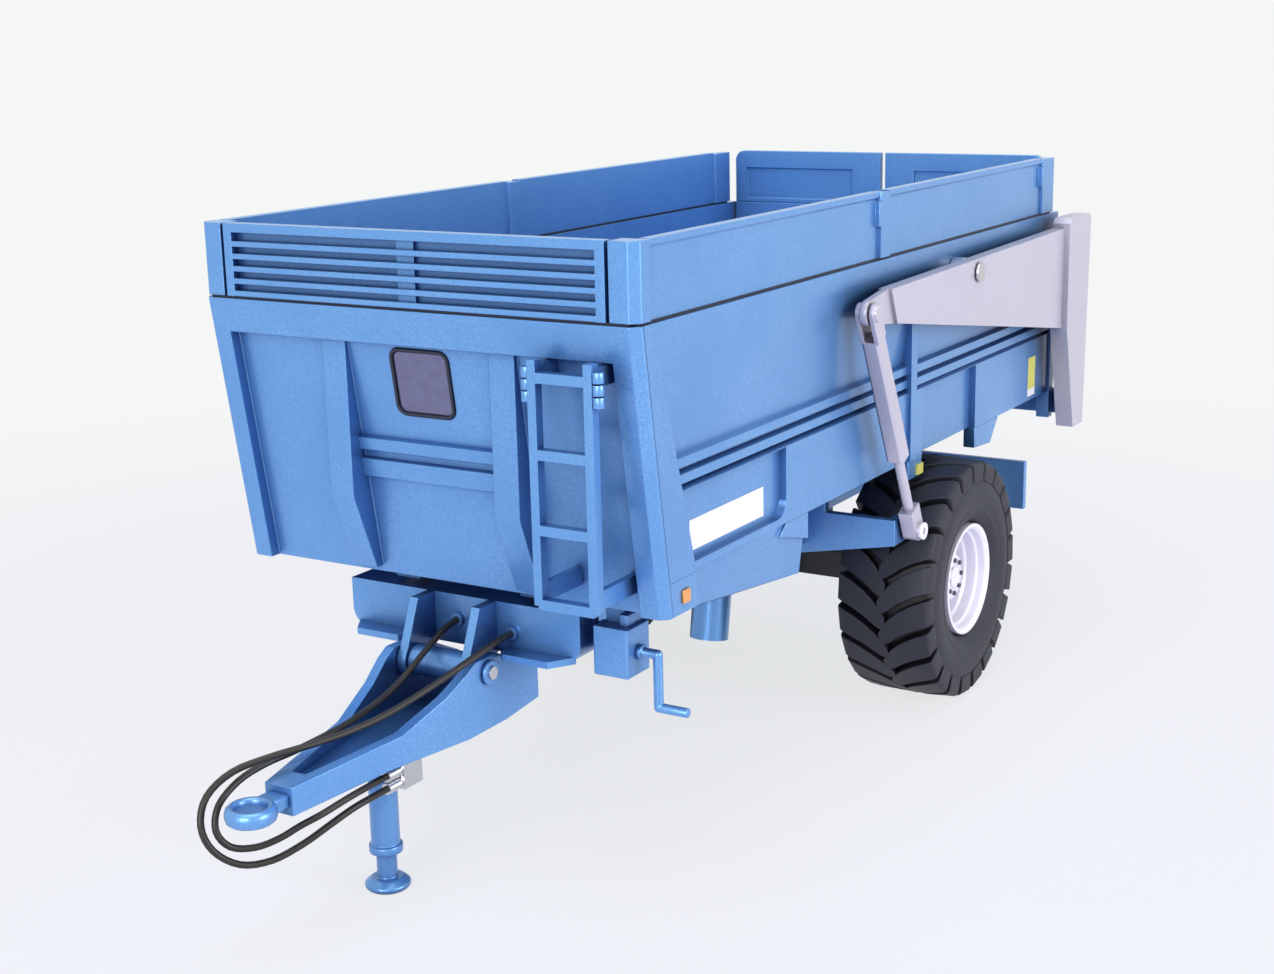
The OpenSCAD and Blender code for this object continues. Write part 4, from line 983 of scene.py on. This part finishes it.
# %% [markdown]
# ## Floor and light
# The model stands in a white light tent. The floor is plain and pale and keeps the soft shadow; far out it
# turns to the same flat tone as the background. Three soft lamps stand in for the tent's top, front and
# side.

# %% Floor
PALE = "#f5f7f6"
CARD = "#e0dcfc"
CARD_ROUGHNESS = 0.9
NEAR_CARD = 0.8
FADE_FROM = 0.12
FADE_TO = 0.36
HALF_FLOOR = 3.0


def seen_directly(tree):
    """1 for what the camera sees, also in a mirror or through glass, and 0 for light on the object."""
    path = add(tree, "ShaderNodeLightPath").outputs
    seen = {0: path["Is Camera Ray"], 1: path["Is Glossy Ray"]}
    mirrored = add(tree, "ShaderNodeMath", seen, operation="MAXIMUM")
    seen = {0: mirrored.outputs[0], 1: path["Is Transmission Ray"]}
    return add(tree, "ShaderNodeMath", seen, operation="MAXIMUM").outputs[0]


def pale_floor():
    """Backlit card with a faint shadow near the object, that fades to the background's tone further out."""
    material, tree, shader = finish_named("pale_floor_card")
    place = add(tree, "ShaderNodeTexCoord").outputs["Object"]
    reach = add(tree, "ShaderNodeVectorMath", {0: place}, operation="LENGTH")
    outwards = {
        "Value": reach.outputs["Value"],
        "From Min": FADE_FROM,
        "From Max": FADE_TO,
        "To Min": NEAR_CARD,
    }
    fade = add(tree, "ShaderNodeMapRange", outwards, interpolation_type="SMOOTHSTEP")
    share = {0: fade.outputs["Result"], 1: seen_directly(tree)}
    shown = add(tree, "ShaderNodeMath", share, operation="MULTIPLY")
    flat = add(tree, "ShaderNodeEmission", {"Color": colour(PALE), "Strength": 1.0})
    shader.inputs["Base Color"].default_value = colour(CARD)
    shader.inputs["Roughness"].default_value = CARD_ROUGHNESS
    mixed = add(tree, "ShaderNodeMixShader", {0: shown.outputs[0], 1: shader.outputs[0], 2: flat.outputs[0]})
    tree.links.new(mixed.outputs[0], tree.nodes["Material Output"].inputs["Surface"])
    return material


floor_mesh = bpy.data.meshes.new("floor")
floor_corners = [(HALF_FLOOR * x, HALF_FLOOR * y, 0) for x, y in ((-1, -1), (1, -1), (1, 1), (-1, 1))]
floor_mesh.from_pydata(floor_corners, [], [(0, 1, 2, 3)])
floor = bpy.data.objects.new("floor", floor_mesh)
floor_mesh.materials.append(pale_floor())
scene.collection.objects.link(floor)
print("floor", 2 * HALF_FLOOR, "m wide")

# %% World
TENT = "#eef2ff"
TENT_STRENGTH = 0.42
world = bpy.data.worlds.new("light_tent")
scene.world = world
world.use_nodes = True
sky = world.node_tree
lit = add(sky, "ShaderNodeBackground", {"Color": colour(TENT), "Strength": TENT_STRENGTH})
shown = add(sky, "ShaderNodeBackground", {"Color": colour(PALE), "Strength": 1.0})
either = add(sky, "ShaderNodeMixShader", {0: seen_directly(sky), 1: lit.outputs[0], 2: shown.outputs[0]})
sky.links.new(either.outputs[0], sky.nodes["World Output"].inputs["Surface"])
print("world", world.name, "at", TENT_STRENGTH)


# %% Lamps
def soft_lamp(name, place, aim, size, power):
    """A square soft lamp that looks at a point."""
    data = bpy.data.lights.new(name, "AREA")
    data.size = size
    data.energy = power
    lamp = bpy.data.objects.new(name, data)
    scene.collection.objects.link(lamp)
    lamp.location = place
    lamp.rotation_euler = (Vector(aim) - Vector(place)).to_track_quat("-Z", "Y").to_euler()


middle = (0, 0, 0.05)
soft_lamp("tent_top", (0.10, 0.00, 0.75), middle, 0.50, 2.3)
soft_lamp("tent_front", (0.75, 0.12, 0.24), middle, 0.38, 3.3)
soft_lamp("tent_side", (-0.02, 0.80, 0.22), middle, 0.38, 3.5)
print("floor, world and three lamps are set")
